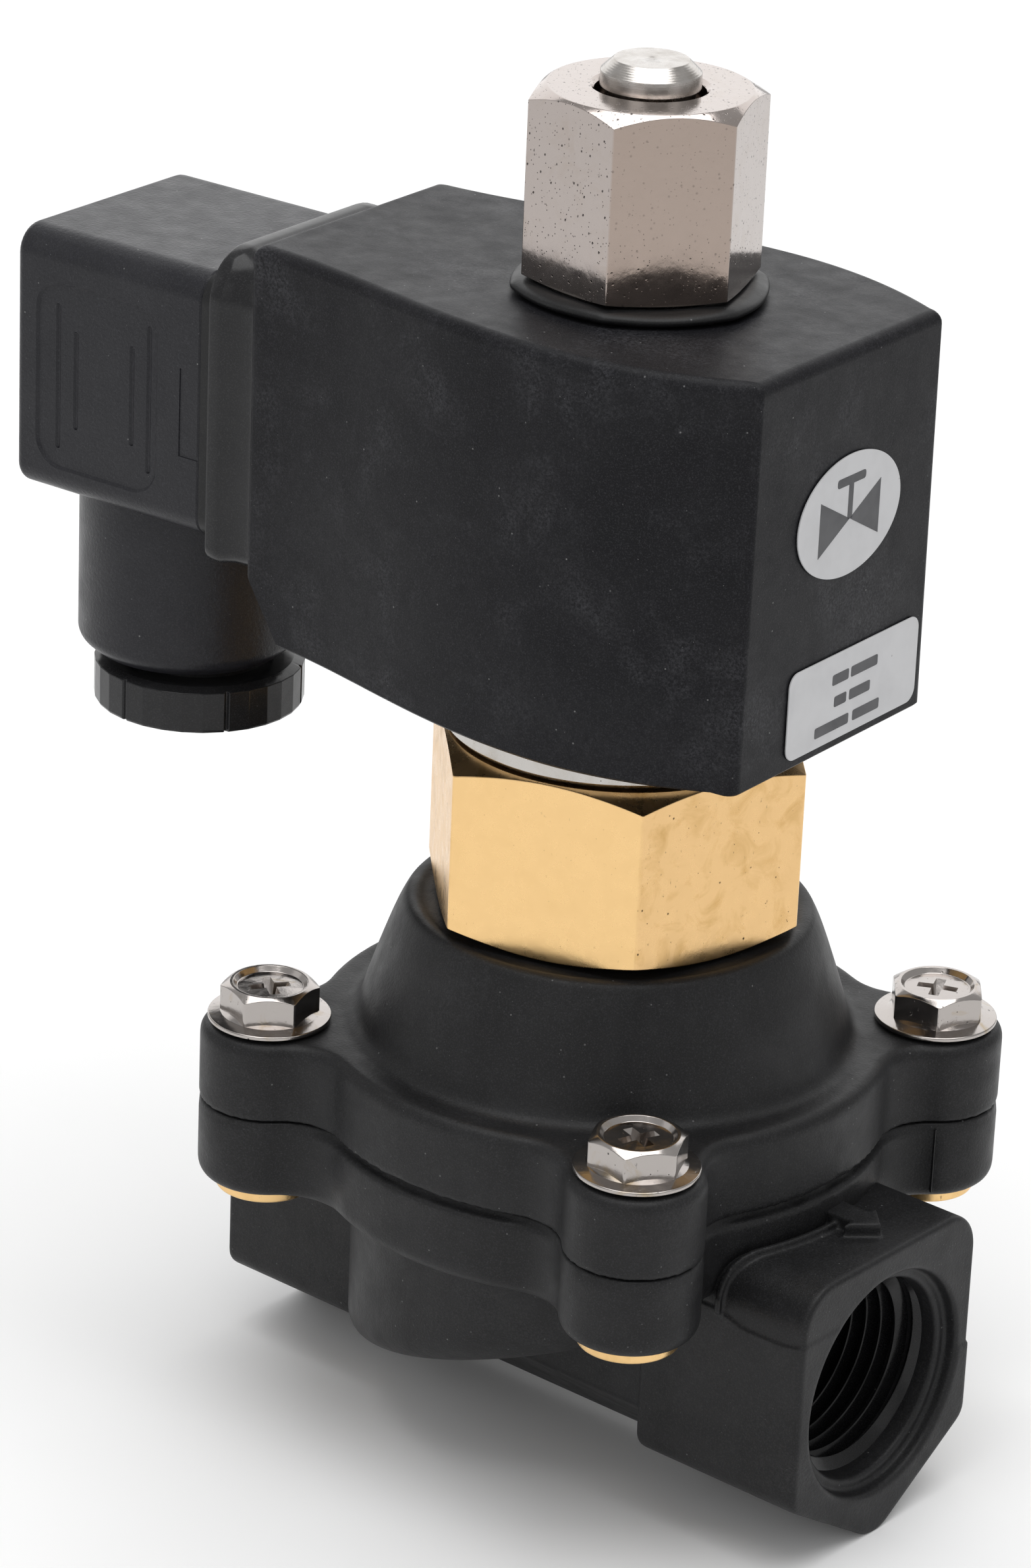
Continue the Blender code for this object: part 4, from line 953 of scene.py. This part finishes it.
def bonnet():
    low = PARTING_Z + PARTING_GAP / 2.0
    shell = loft("bonnet_shell", eased_layers(flange_outline, low, BONNET_TOP_Z, 0.15, 1.3))
    side = smooth_curve([
        (27.4, 27.2), (26.0, 27.5), (25.0, 28.3), (24.35, 30.4), (23.3, 33.6), (22.1, 37.0), (21.3, 39.0),
        (20.6, 40.4),
    ])
    edge = [(20.2, 40.75), (19.7, 40.85), (19.2, 40.75), (18.6, DOME_TOP_Z)]
    dome = turned("dome", [(0.0, 25.4), (27.4, 25.4)] + side + edge + [(0.0, DOME_TOP_Z)], 160)
    combine(shell, "UNION", dome)
    foot = low - 1.0
    cavity = [(0.0, foot), (CHAMBER_RADIUS, foot), (CHAMBER_RADIUS, 23.5), (13.0, 30.0), (0.0, 30.0)]
    socket = [(2.4, 32.5), (12.3, 32.5), (12.3, 43.0), (0.0, 43.0), (0.0, 33.8), (1.6, 33.8)]
    cutters = [
        turned("cavity", cavity, 96),
        closed_turn("socket", socket, 64),
        rod("pilot", 1.0, 29.0, 34.8, 24),
        rod("bleed", 0.8, 29.0, 33.5, 16, (7.0, 0.0)),
    ]
    for place in screw_places():
        cutters.append(rod("hole", SCREW_HOLE_RADIUS, 18.0, 28.4, 32, place))
    combine(shell, "DIFFERENCE", *cutters)
    moulded(shell, VOXEL)
    finished(shell, VALVE_NYLON, "valve", 0.0, replaces=("bonnet",))


# Screws and inserts


def cross_cutter(top, turn, place):
    """One tapered slot of the cross recess."""
    def rectangle(length, width, height):
        angle = math.radians(turn)
        ring = []
        for a, b in ((-length, -width), (length, -width), (length, width), (-length, width)):
            x = place[0] + a * math.cos(angle) - b * math.sin(angle)
            ring.append((x, place[1] + a * math.sin(angle) + b * math.cos(angle), height))
        return ring

    return sections("cross", [rectangle(0.75, 0.3, top - 2.1), rectangle(2.55, 0.62, top + 0.1)])


def cover_screw(number, place):
    """A screw with a flange, a hexagon head with a dished top, and a cross recess."""
    turn = SCREW_TURNS[number - 1]
    top, seat, foot = SCREW_TOP_Z, SCREW_SEAT_Z, SCREW_SEAT_Z + 0.6
    screw = closed_turn("flange", rounded([
        (0.0, 10.2, 0.0), (2.1, 10.2, 0.0), (2.4, 10.6, 0.0), (2.4, seat, 0.0),
        (SCREW_FLANGE_RADIUS, seat, 0.12),
        (SCREW_FLANGE_RADIUS, seat + 0.42, 0.16), (5.0, seat + 0.68, 0.4), (4.4, seat + 0.95, 0.2),
        (0.0, seat + 0.95, 0.0),
    ], 4), 72, place)

    def profile(radius):
        flat = 4.15
        shoulder = top - max(0.0, radius - flat) * 0.62 - 0.05
        return rounded([
            (0.02, foot, 0.0), (radius, foot, 0.0), (radius, shoulder, 0.12), (flat - 0.1, top, 0.12),
            (3.75, top, 0.1), (3.35, top - 0.55, 0.15), (0.02, top - 0.42, 0.0),
        ], 4)

    head = columns("head", hexagon(SCREW_ACROSS_FLATS, turn, 0.45, 5, 0.7), profile, place)
    weld_axis(head, *place, 0.05)
    combine(screw, "UNION", head)
    combine(screw, "DIFFERENCE", *(cross_cutter(top, turn + angle, place) for angle in (15.0, 105.0)))
    screw.name = f"cover_screw_{number}_detail"
    finished(screw, SCREW_PLATING, "valve", 28.0,
             replaces=(f"cover_screw_{number}",), weighted=True)


def weld_axis(obj, x, y, within):
    """Closes the pin hole that a columned head leaves on its axis."""
    bm = bmesh.new()
    bm.from_mesh(obj.data)
    for vert in bm.verts:
        if math.hypot(vert.co.x - x, vert.co.y - y) < within:
            vert.co.x, vert.co.y = x, y
    bmesh.ops.remove_doubles(bm, verts=bm.verts, dist=1e-3)
    bmesh.ops.recalc_face_normals(bm, faces=bm.faces)
    bm.to_mesh(obj.data)
    bm.free()


def insert(number, place):
    """A flanged tube pressed into the body from below."""
    low, shoulder, high, neck = INSERT_LOW_Z, 10.9, 17.0, 3.6
    profile = rounded([
        (SCREW_HOLE_RADIUS, low, 0.2), (INSERT_RADIUS, low, 0.25), (INSERT_RADIUS, shoulder, 0.15),
        (neck, shoulder, 0.0),
        (neck, high, 0.2), (SCREW_HOLE_RADIUS, high, 0.1),
    ], 4)
    piece = turned(f"insert_{number}_detail", profile, 64, place, hollow=True)
    finished(piece, BRASS, "valve", 30.0, replaces=(f"threaded_insert_{number}",))


# Stem


def guide_hex():
    low, high = HEX_FOOT_Z, RING_Z[0] - GAP
    outline = hexagon(HEX_ACROSS_FLATS, HEX_ANGLE, 0.35, 4, 0.9)
    flat = HEX_ACROSS_FLATS / 2.0 - 0.2

    def profile(radius):
        chamfer = max(0.0, radius - flat) * 0.43 + 0.02
        return rounded([
            (12.0, 35.0, 0.2), (12.0, low, 0.0), (flat, low, 0.1), (radius, low + chamfer, 0.15),
            (radius, high - chamfer, 0.15), (flat, high, 0.12), (6.9, high, 0.2), (6.9, 44.0, 0.0),
            (9.0, 44.0, 0.0), (9.0, 35.0, 0.2),
        ], 4)

    piece = columns("guide_hex_detail", outline, profile)
    finished(piece, GUIDE_BRASS, "valve", 25.0, replaces=("guide_hex_base",), weighted=True)


def seat_ring():
    low, high = RING_Z
    profile = rounded([
        (6.9, low, 0.1), (RING_RADIUS - 0.5, low, 0.1), (RING_RADIUS, low + 0.5, 0.15),
        (RING_RADIUS, high - 0.3, 0.1), (RING_RADIUS - 0.3, high, 0.1), (6.9, high, 0.1),
    ], 4)
    finished(turned("coil_seat_ring_detail", profile, 144, hollow=True), ALUMINIUM, "valve", 30.0,
             replaces=("coil_seat_ring",))


def stud():
    """The tube's plug, whose stud ends in a neck and a coned head with a centre mark."""
    out, neck, top = STUD_RADIUS, STUD_RADIUS - 0.5, STUD_TOP_Z
    profile = rounded([
        (0.0, 100.6, 0.0), (5.7, 100.6, 0.1), (5.7, 104.4, 0.0), (TUBE_RADIUS, 104.4, 0.0),
        (TUBE_RADIUS, 106.0, 0.1), (out, 106.3, 0.1), (out, 122.75, 0.1), (neck, 123.0, 0.08),
        (neck, 124.8, 0.08),
        (out, 125.1, 0.12), (out, 126.6, 0.14), (3.6, top - 0.06, 0.12), (0.55, top, 0.0),
        (0.25, top - 0.1, 0.05),
        (0.0, top - 0.12, 0.0),
    ], 4, False)
    finished(turned("stud_detail", profile, 96), MACHINED, "valve", 25.0,
             replaces=("tube_plug",))


def coil_nut():
    low, high = NUT_Z
    outline = hexagon(NUT_ACROSS_FLATS, NUT_ANGLE, 0.16, 4, 0.45)
    flat = NUT_ACROSS_FLATS / 2.0 - 0.35

    def profile(radius):
        over = max(0.0, radius - flat)
        return rounded([
            (5.55, low, 0.2), (flat, low, 0.1), (radius, low + over * 0.2 + 0.02, 0.1),
            (radius, high - over * 0.6 - 0.03, 0.09), (flat, high - 0.02, 0.3), (5.8, high, 0.15),
            (5.35, high - 0.4, 0.1), (5.35, 123.0, 0.05), (5.3, 108.6, 0.0), (5.4, 107.0, 0.0),
        ], 4)

    piece = columns("coil_nut_detail", outline, profile)
    finished(piece, NICKEL, "valve", 22.0, replaces=("coil_nut",), weighted=True)

    ring_radius = 11.2

    def pressed(angle):
        """The O-ring bulges out to follow the hexagon that squeezes it."""
        turn = math.degrees(angle) - NUT_ANGLE
        from_flat = (turn % 60.0) - 30.0
        follow = NUT_ACROSS_FLATS / 2.0 / math.cos(math.radians(0.6 * from_flat)) + 0.35 - ring_radius
        uneven = 0.14 * math.cos(2.0 * angle + 0.7) + 0.1 * math.sin(3.0 * angle + 1.9)
        return follow + uneven, 0.06 * math.cos(math.radians(6.0 * turn) + 0.4)

    loop = [(ring_radius + 1.75 * a, NUT_Z[0] - 0.8 + 0.72 * b) for a, b in circle(1.0, 20)]
    ring = turned("nut_o_ring_detail", loop, 180, hollow=True, wobble=pressed)
    finished(ring, RUBBER, "valve", 0.0, replaces=("coil_nut_o_ring",))


def spring(name, radius, wire, low, high, turns):
    steps, sides = 36, 10
    count = int(turns * steps)
    rings = []
    for index in range(count + 1):
        angle = 2.0 * math.pi * index / steps
        share = index / count
        closing = 0.5 - 0.5 * math.cos(math.pi * share)
        eased = 0.75 * share + 0.25 * closing
        height = low + wire + (high - low - 2.0 * wire) * eased
        ring = []
        for side in range(sides):
            turn = 2.0 * math.pi * side / sides
            out = radius + wire * math.cos(turn)
            ring.append((out * math.cos(angle), out * math.sin(angle), height + wire * math.sin(turn)))
        rings.append(ring)
    return sections(name, rings)


def diaphragm_and_springs():
    rim_low = PARTING_Z - GAP / 2.0 - DIAPHRAGM_THICKNESS
    middle_low = SEAT_Z + GAP
    lower = smooth_curve([(0.001, middle_low), (6.0, middle_low), (11.0, middle_low),
                          (14.5, middle_low + 0.7),
                          (18.0, rim_low - 0.5), (21.0, rim_low), (24.0, rim_low), (26.9, rim_low)])
    lower[0] = (0.0, middle_low)
    upper = [(radius, height + DIAPHRAGM_THICKNESS) for radius, height in reversed(lower)]
    piece = turned("diaphragm_detail", lower + upper, 128)
    finished(piece, RUBBER, None, 40.0)
    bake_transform(piece)
    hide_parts("diaphragm")

    lifted = spring("diaphragm_spring_detail", 5.6, 0.45, 17.6, 29.7, 5)
    finished(lifted, SPRING_STEEL, "valve", 0.0, replaces=("diaphragm_spring",))
    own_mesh(lifted)

    returned = spring("plunger_spring_detail", 2.1, 0.3, 80.3, 89.7, 7)
    finished(returned, SPRING_STEEL, "valve", 0.0, replaces=("plunger_spring",))
    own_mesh(returned)


# Coil


def coil_half_width(x):
    """Half the block's width at x."""
    swell = COIL_MID_HALF_WIDTH - COIL_END_HALF_WIDTH
    if x < COIL_WIDEST_X:
        along = max(0.0, (x - COIL_X[0]) / (COIL_WIDEST_X - COIL_X[0]))
        return COIL_END_HALF_WIDTH + swell * (0.5 - 0.5 * math.cos(math.pi * along ** 0.9))
    along = (x - COIL_WIDEST_X) / (COIL_X[1] - COIL_WIDEST_X)
    return COIL_MID_HALF_WIDTH - swell * along ** 2


def coil_outline(inset=0.0, draft=0.0):
    """The block from above: straight ends, and sides that swell towards the middle, less the draft."""
    corner = 0.8 + 1.5 * draft / COIL_DRAFT
    steps = 60
    left, right = COIL_X[0] + inset, COIL_X[1] - inset
    front = []
    for step in range(steps + 1):
        x = left + corner + (right - left - 2.0 * corner) * step / steps
        wide = coil_half_width(x)
        share = (wide - COIL_END_HALF_WIDTH) / (COIL_MID_HALF_WIDTH - COIL_END_HALF_WIDTH)
        front.append((x, inset - wide - draft * max(0.0, share)))
    y_left, y_right = front[0][1], front[-1][1]
    turn_right = [(right - corner, y_right, 0.0), (right, y_right + 0.2, 0.88 * corner), (right, 0.0, 0.0)]
    turn_left = [(left, 0.0, 0.0), (left, y_left + 0.2, 0.7), (left + corner, y_left, 0.0)]
    turn_right, turn_left = (rounded(corners, 6, False)[1:-1] for corners in (turn_right, turn_left))
    edge = front + turn_right
    mirrored = [(x, -y) for x, y in reversed(edge)]
    left_mirrored = [(x, -y) for x, y in reversed(turn_left)]
    return edge + mirrored + left_mirrored + turn_left


def coil_housing():
    low, high = COIL_Z
    layers = [(low, coil_outline(0.25, COIL_DRAFT)), (low + 0.25, coil_outline(0.0, COIL_DRAFT))]
    for step in range(1, 8):
        share = step / 8
        height = low + (high - COIL_TOP_RADIUS - low) * share
        layers.append((height, coil_outline(0.0, COIL_DRAFT * (1.0 - share))))
    for drop, inset in quarter_round(6):
        layers.append((high - COIL_TOP_RADIUS * drop, coil_outline(COIL_TOP_RADIUS * inset)))
    housing = loft("coil_housing_detail", layers)
    x = COIL_X[0]
    wedge = prism("wedge", rounded([
        (x - 2.0, low - 2.0, 0.0), (x + 0.7 * COIL_CUT + 1.4, low - 2.0, 0.0),
        (x - 0.2, low + COIL_CUT + 0.4, 0.0), (x - 2.0, low + COIL_CUT + 3.0, 0.0),
    ], 3), -30.0, 30.0, "Y")
    combine(housing, "DIFFERENCE", wedge)
    stations = [
        (0.0, 0.35), (0.12, 0.1), (0.4, 0.0), (1.3, 0.0), (1.7, 0.08), (2.4, 0.3), (3.6, 0.5), (5.0, 0.5),
        (5.7, 0.35), (x + 0.3 - BASE_X, 0.1),
    ]
    corners = (-BASE_HALF_WIDTH, BASE_Z[0]), (BASE_HALF_WIDTH, BASE_Z[1])
    base = loft("plug_base_detail", [
        (BASE_X + along, rounded_box(*corners, 5.2, 1.9, inset, 10)) for along, inset in stations
    ], "X")
    combine(housing, "DIFFERENCE", *coil_hollows())
    combine(base, "DIFFERENCE", *coil_slots())
    finished(housing, COIL_NYLON, "coil", 30.0, swivel=True,
             replaces=("coil_housing",), weighted=True)
    finished(base, GLOSS_BLACK, "coil", 30.0, swivel=True, weighted=True)


def coil_hollows():
    """Room in the block for the tube, the winding and the yoke round it."""
    half = YOKE_HALF_WIDTH
    return [
        rod("core", TUBE_RADIUS + 0.35, COIL_Z[0] - 2.0, COIL_Z[1] + 2.0, 64),
        rod("winding", WINDING_RADIUS, 70.6, 98.2, 64),
        box("yoke_low", (-15.3, -half, 67.0), (22.3, half, 70.9)),
        box("yoke_high", (-15.3, -half, 97.9), (22.3, half, 101.8)),
        box("yoke_side", (18.7, -half, 70.0), (22.3, half, 99.0)),
    ] + coil_slots()


def coil_slots():
    """Slots for the terminal blades and the earth tab, and the connector screw's hole."""
    middle = CONNECTOR_SCREW_Z
    slots = []
    places = ((0.0, middle + 9.0, 3.4, 0.7), (0.0, middle - 9.0, 3.4, 0.7), (9.0, middle, 0.7, 3.4))
    for y, z, half_y, half_z in places:
        slots.append(box("slot", (-60.0, y - half_y, z - half_z), (-31.7, y + half_y, z + half_z)))
    slots.append(laid_along_x(rod("socket", 1.8, -46.0, -33.0, 32), middle))
    return slots


def labels():
    """An oval mark with a plain valve symbol, and a rating plate whose print is plain bars."""
    face = COIL_X[1] + GAP * 0.4
    front = face + LABEL_THICKNESS
    ellipse = [(0.5 + 8.7 * a, 88.1 + 6.15 * b) for a, b in circle(1.0, 96)]
    oval = prism("oval_label_detail", ellipse, face, front, "X")
    finished(oval, LABEL, "coil", 30.0, swivel=True, replaces=("oval_label",))
    rectangle = rounded_box((-8.0, 65.0), (14.3, 74.0), 1.4, 1.4, 0.0, 8)
    plate = prism("rating_label_detail", rectangle, face, front, "X")
    finished(plate, LABEL, "coil", 30.0, swivel=True, replaces=("rating_label",))
    shapes = [
        [(-4.6, 84.9), (0.5, 87.7), (-4.6, 90.5)],
        [(5.6, 84.9), (5.6, 90.5), (0.5, 87.7)],
        rounded_box((0.1, 87.7), (0.9, 91.2), 0.05, 0.05, 0.0, 2),
        rounded_box((-1.9, 91.2), (2.9, 92.1), 0.3, 0.3, 0.0, 3),
    ]
    rows = ((71.35, (-0.6, 2.2, 2.6, 7.2)), (69.0, (-0.1, 2.0, 2.5, 6.1)), (66.6, (-3.2, 2.6, 3.3, 7.9)))
    for height, stops in rows:
        for start, stop in zip(stops[::2], stops[1::2]):
            shapes.append(rounded_box((start, height - 0.55), (stop, height + 0.55), 0.2, 0.2, 0.0, 3))
    for number, outline in enumerate(shapes, 1):
        mark = prism(f"label_print_{number}", outline, front - 0.05, front + 0.02, "X")
        finished(mark, INK, "coil", 30.0, swivel=True)


# Connector


def connector_section(inset=0.0):
    half = CONNECTOR_HALF_WIDTH
    return rounded_box((-half, CONNECTOR_Z[0]), (half, CONNECTOR_Z[1]), *CONNECTOR_RADII, inset, 8)


def capsule(a, low, high, half):
    """A groove's outline, with round ends."""
    return rounded_box((a - half, low), (a + half, high), half, half, 0.0, 5)


def connector_marks(side):
    """Cutters for one side wall: the sunk panel, its four upright grooves and the clip's outline."""
    wall = side * CONNECTOR_HALF_WIDTH
    depths = ((-0.6, -0.5), (0.0, 0.0), (0.26, 0.3))
    panel = [(wall - side * depth, rounded_box((-64.9, 74.75), (-48.8, 94.75), 3.2, 3.2, inset, 8))
             for depth, inset in depths]
    cutters = [loft("panel", sorted(panel), "Y")]
    lines = ((-62.1, 76.9, 92.4), (-59.75, 79.4, 89.9), (-52.35, 79.5, 90.1), (-50.1, 77.1, 92.7))
    for a, low, high in lines:
        groove = [(wall - side * depth, capsule(a, low, high, wide))
                  for depth, wide in ((0.2, 0.36), (0.26, 0.32), (0.44, 0.1))]
        cutters.append(loft("groove", sorted(groove), "Y"))
    clip = [(-45.9, 80.1), (-43.0, 80.1), (-43.0, 80.5), (-45.5, 80.5), (-45.5, 89.4), (-45.9, 89.4)]
    cutters.append(prism("clip", clip, *sorted((wall - side * 0.1, wall + side * 0.5)), "Y"))
    return cutters


def connector():
    """The plug's shell with its cable barrel, and the gasket between it and the coil."""
    left, right = CONNECTOR_X
    low, high = CONNECTOR_Z
    half = CONNECTOR_HALF_WIDTH
    layers = [(left + along, connector_section(inset)) for inset, along in quarter_round(6)]
    for share in (0.25, 0.5, 0.75):
        layers.append((left + 1.0 + (right - left - 1.3) * share, connector_section()))
    layers += [(right - 0.25, connector_section()), (right, connector_section(0.2))]
    shell = loft("connector_detail", layers, "X")
    barrel = turned("barrel", rounded([
        (0.0, BARREL_BOTTOM_Z, 0.0), (BARREL_RADIUS - 1.5, BARREL_BOTTOM_Z, 0.3),
        (BARREL_RADIUS, BARREL_BOTTOM_Z + 1.2, 1.6), (BARREL_RADIUS, low + 3.0, 0.0), (0.0, low + 3.0, 0.0),
    ], 6, False), 128, (BARREL_X, 0.0))
    combine(shell, "UNION", barrel)
    inside = box("inside", (left + 2.0, -half + 2.0, low + 2.0), (right + 2.0, half - 2.0, high - 2.0))
    bore = turned("bore", [
        (0.0, BARREL_BOTTOM_Z - 2.0), (BARREL_BORE, BARREL_BOTTOM_Z - 2.0), (BARREL_BORE, 68.8), (6.0, 68.8),
        (6.0, low + 3.0), (0.0, low + 3.0),
    ], 64, (GLAND_X, 0.0))
    passage = laid_along_x(rod("passage", 1.8, left - 2.0, left + 6.0, 32), CONNECTOR_SCREW_Z)
    combine(shell, "DIFFERENCE", inside, bore, passage)
    cutters = connector_marks(-1.0) + connector_marks(1.0)
    combine(shell, "DIFFERENCE", *cutters)
    finished(shell, CONNECTOR_BLACK, "coil", 24.0, swivel=True,
             replaces=("connector_housing",), weighted=True)

    margin = 0.02
    corners = (margin - half, low + margin), (half - margin, high - margin)
    gasket = rounded_box(*corners, *CONNECTOR_RADII, 0.0, 8)
    window = rounded_box((-11.4, low + 2.2), (11.4, high - 2.2), 1.0, 1.0, 0.0, 4)
    strip = prism("gasket_detail", gasket, right + 0.06, BASE_X - 0.06, "X")
    combine(strip, "DIFFERENCE", prism("window", window, right - 2.0, BASE_X + 2.0, "X"))
    finished(strip, RUBBER, "coil", 30.0, swivel=True,
             replaces=("connector_gasket",), weighted=True)


def connector_screw():
    head = CONNECTOR_X[0] - GAP
    profile = rounded([
        (0.0, head - 2.4, 0.0), (2.55, head - 2.25, 0.4), (2.8, head - 0.9, 0.1), (1.5, head - 0.9, 0.0),
        (1.5, -34.2, 0.2), (0.0, -34.0, 0.0),
    ], 4, False)
    middle = CONNECTOR_SCREW_Z
    screw = laid_along_x(turned("connector_screw_detail", profile, 64), middle)
    slot = box("slot", (head - 3.0, -3.5, middle - 0.4), (head - 1.5, 3.5, middle + 0.4))
    combine(screw, "DIFFERENCE", slot)
    finished(screw, NICKEL, "coil", 28.0, swivel=True,
             replaces=("connector_screw",), weighted=True)


def gland_nut():
    """A grip of six rounded lobes with a sharp groove between them, on a hollow threaded stem."""
    grip = GLAND_RADIUS
    half = [(5.5, grip + 0.03, 0.8), (17.0, grip + 0.03, 0.8), (28.6, grip, 0.1), (29.6, grip - 0.3, 0.05)]
    lobe = [(-offset, radius, corner) for offset, radius, corner in reversed(half)] + half
    points = []
    for number in range(6):
        for offset, radius, corner in lobe:
            points.append((*polar(radius, GLAND_ANGLE + 60.0 * number + offset), corner))
    outline = divided(rounded(points, 4), 0.8)
    low, high = GLAND_Z
    hole, stem, stem_top = CABLE_HOLE_RADIUS, BARREL_BORE - GAP, 60.4

    def profile(radius):
        edge = high - 0.12 - 0.35 * max(0.0, radius - 10.2)
        return rounded([
            (hole + 1.0, low, 0.2), (radius - 0.15, low, 0.15), (radius, low + 0.3, 0.2),
            (radius, edge, 0.14),
            (9.9, high, 0.1), (stem, high, 0.0), (stem, stem_top, 0.2), (hole, stem_top, 0.2),
            (hole, low + 1.2, 0.3),
        ], 4)

    nut = columns("gland_nut_detail", outline, profile)
    nut.data.transform(Matrix.Translation((GLAND_X, 0.0, 0.0)))
    finished(nut, GLOSS_BLACK, "gland_nut", 26.0, swivel=True,
             replaces=("gland_nut",), weighted=True)


# The CAD nodes that stay


def dress_cad_nodes():
    """Gives the CAD nodes that stay in view their materials."""
    stay = {
        STEEL: ("fixed_core", "armature_tube", "plunger", "diaphragm_plate", "magnet_yoke", "gland_washer"),
        BRASS: (
            "push_pin", "coil_terminal_1", "coil_terminal_2", "earth_tab",
            "clamp_screw_1", "clamp_screw_2", "clamp_screw_3",
        ),
        RUBBER: ("guide_o_ring", "pilot_seal", "connector_screw_seal", "gland_grommet"),
        COPPER: ("shading_ring", "coil_winding"),
        BOBBIN: ("coil_bobbin",),
        GLOSS_BLACK: ("terminal_block",),
    }
    for material, names in stay.items():
        for name in names:
            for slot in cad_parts[name].material_slots:
                slot.material = material


# Setting


def studio_floor():
    nodes = Nodes("pale_floor")
    tone = nodes.mix(nodes.span(nodes.noise(0.02, 3.0), 0.3, 0.7), (0.9, 0.9, 0.9), (0.92, 0.92, 0.92))
    nodes.set("Base Color", tone)
    nodes.set("Roughness", 0.9)
    floor = prism("floor", circle(FLOOR_RADIUS, 64), FLOOR_Z - 5.0, FLOOR_Z)
    finished(floor, nodes.material, None, 30.0)


def softbox(name, place, size, power):
    light = bpy.data.lights.new(name, "AREA")
    light.shape = "RECTANGLE"
    light.size, light.size_y = size
    light.energy = power
    obj = bpy.data.objects.new(name, light)
    bpy.context.scene.collection.objects.link(obj)
    obj.location = place
    direction = Vector(LIGHT_TARGET) - Vector(place)
    obj.rotation_euler = direction.to_track_quat("-Z", "Y").to_euler()


def lighting():
    world = bpy.data.worlds.new("studio")
    bpy.context.scene.world = world
    world.use_nodes = True
    background = world.node_tree.nodes["Background"]
    background.inputs["Color"].default_value = (1.0, 1.0, 1.0, 1.0)
    background.inputs["Strength"].default_value = 0.5
    softbox("top_light", (0.05, -0.05, 0.95), (0.9, 0.9), 6.8)
    softbox("back_light", (-0.62, 0.75, 0.5), (1.6, 0.8), 4.0)
    softbox("left_light", (-0.8, -0.55, 0.4), (0.5, 0.6), 0.35)
    softbox("right_light", (0.9, 0.1, 0.35), (0.4, 0.6), 0.3)
    softbox("front_light", (0.15, -0.95, 0.4), (0.6, 0.6), 0.75)
    bpy.context.scene.view_settings.view_transform = "Standard"
    bpy.context.scene.view_settings.look = "None"


def camera():
    azimuth, elevation, roll = (math.radians(angle) for angle in CAMERA_ANGLES)
    level = math.cos(elevation)
    back = Vector((math.sin(azimuth) * level, -math.cos(azimuth) * level, math.sin(elevation)))
    right = Vector((math.cos(azimuth), math.sin(azimuth), 0.0))
    up = back.cross(right)
    place = Vector((0.0, 0.0, CAMERA_AIM_Z)) + back * CAMERA_DISTANCE
    place += right * CAMERA_SHIFT[0] + up * CAMERA_SHIFT[1]
    x_axis = right * math.cos(roll) + up * math.sin(roll)
    y_axis = up * math.cos(roll) - right * math.sin(roll)
    data = bpy.data.cameras.new("camera")
    data.sensor_fit = "AUTO"
    data.sensor_width = 36.0
    data.lens = CAMERA_LENS
    data.clip_start = 0.01
    obj = bpy.data.objects.new("camera", data)
    bpy.context.scene.collection.objects.link(obj)
    turn = Matrix((x_axis, y_axis, back)).transposed().to_4x4()
    obj.matrix_world = Matrix.Translation(place * MM) @ turn
    bpy.context.scene.camera = obj


camera()
lighting()
studio_floor()
valve_body()
mould_line()
port_thread("outlet_thread", 1.0)
port_thread("inlet_thread", -1.0)
bonnet()
for screw_number, screw_place in enumerate(screw_places(), 1):
    cover_screw(screw_number, screw_place)
    insert(screw_number, screw_place)
guide_hex()
seat_ring()
stud()
coil_nut()
diaphragm_and_springs()
coil_housing()
labels()
connector()
connector_screw()
gland_nut()
dress_cad_nodes()
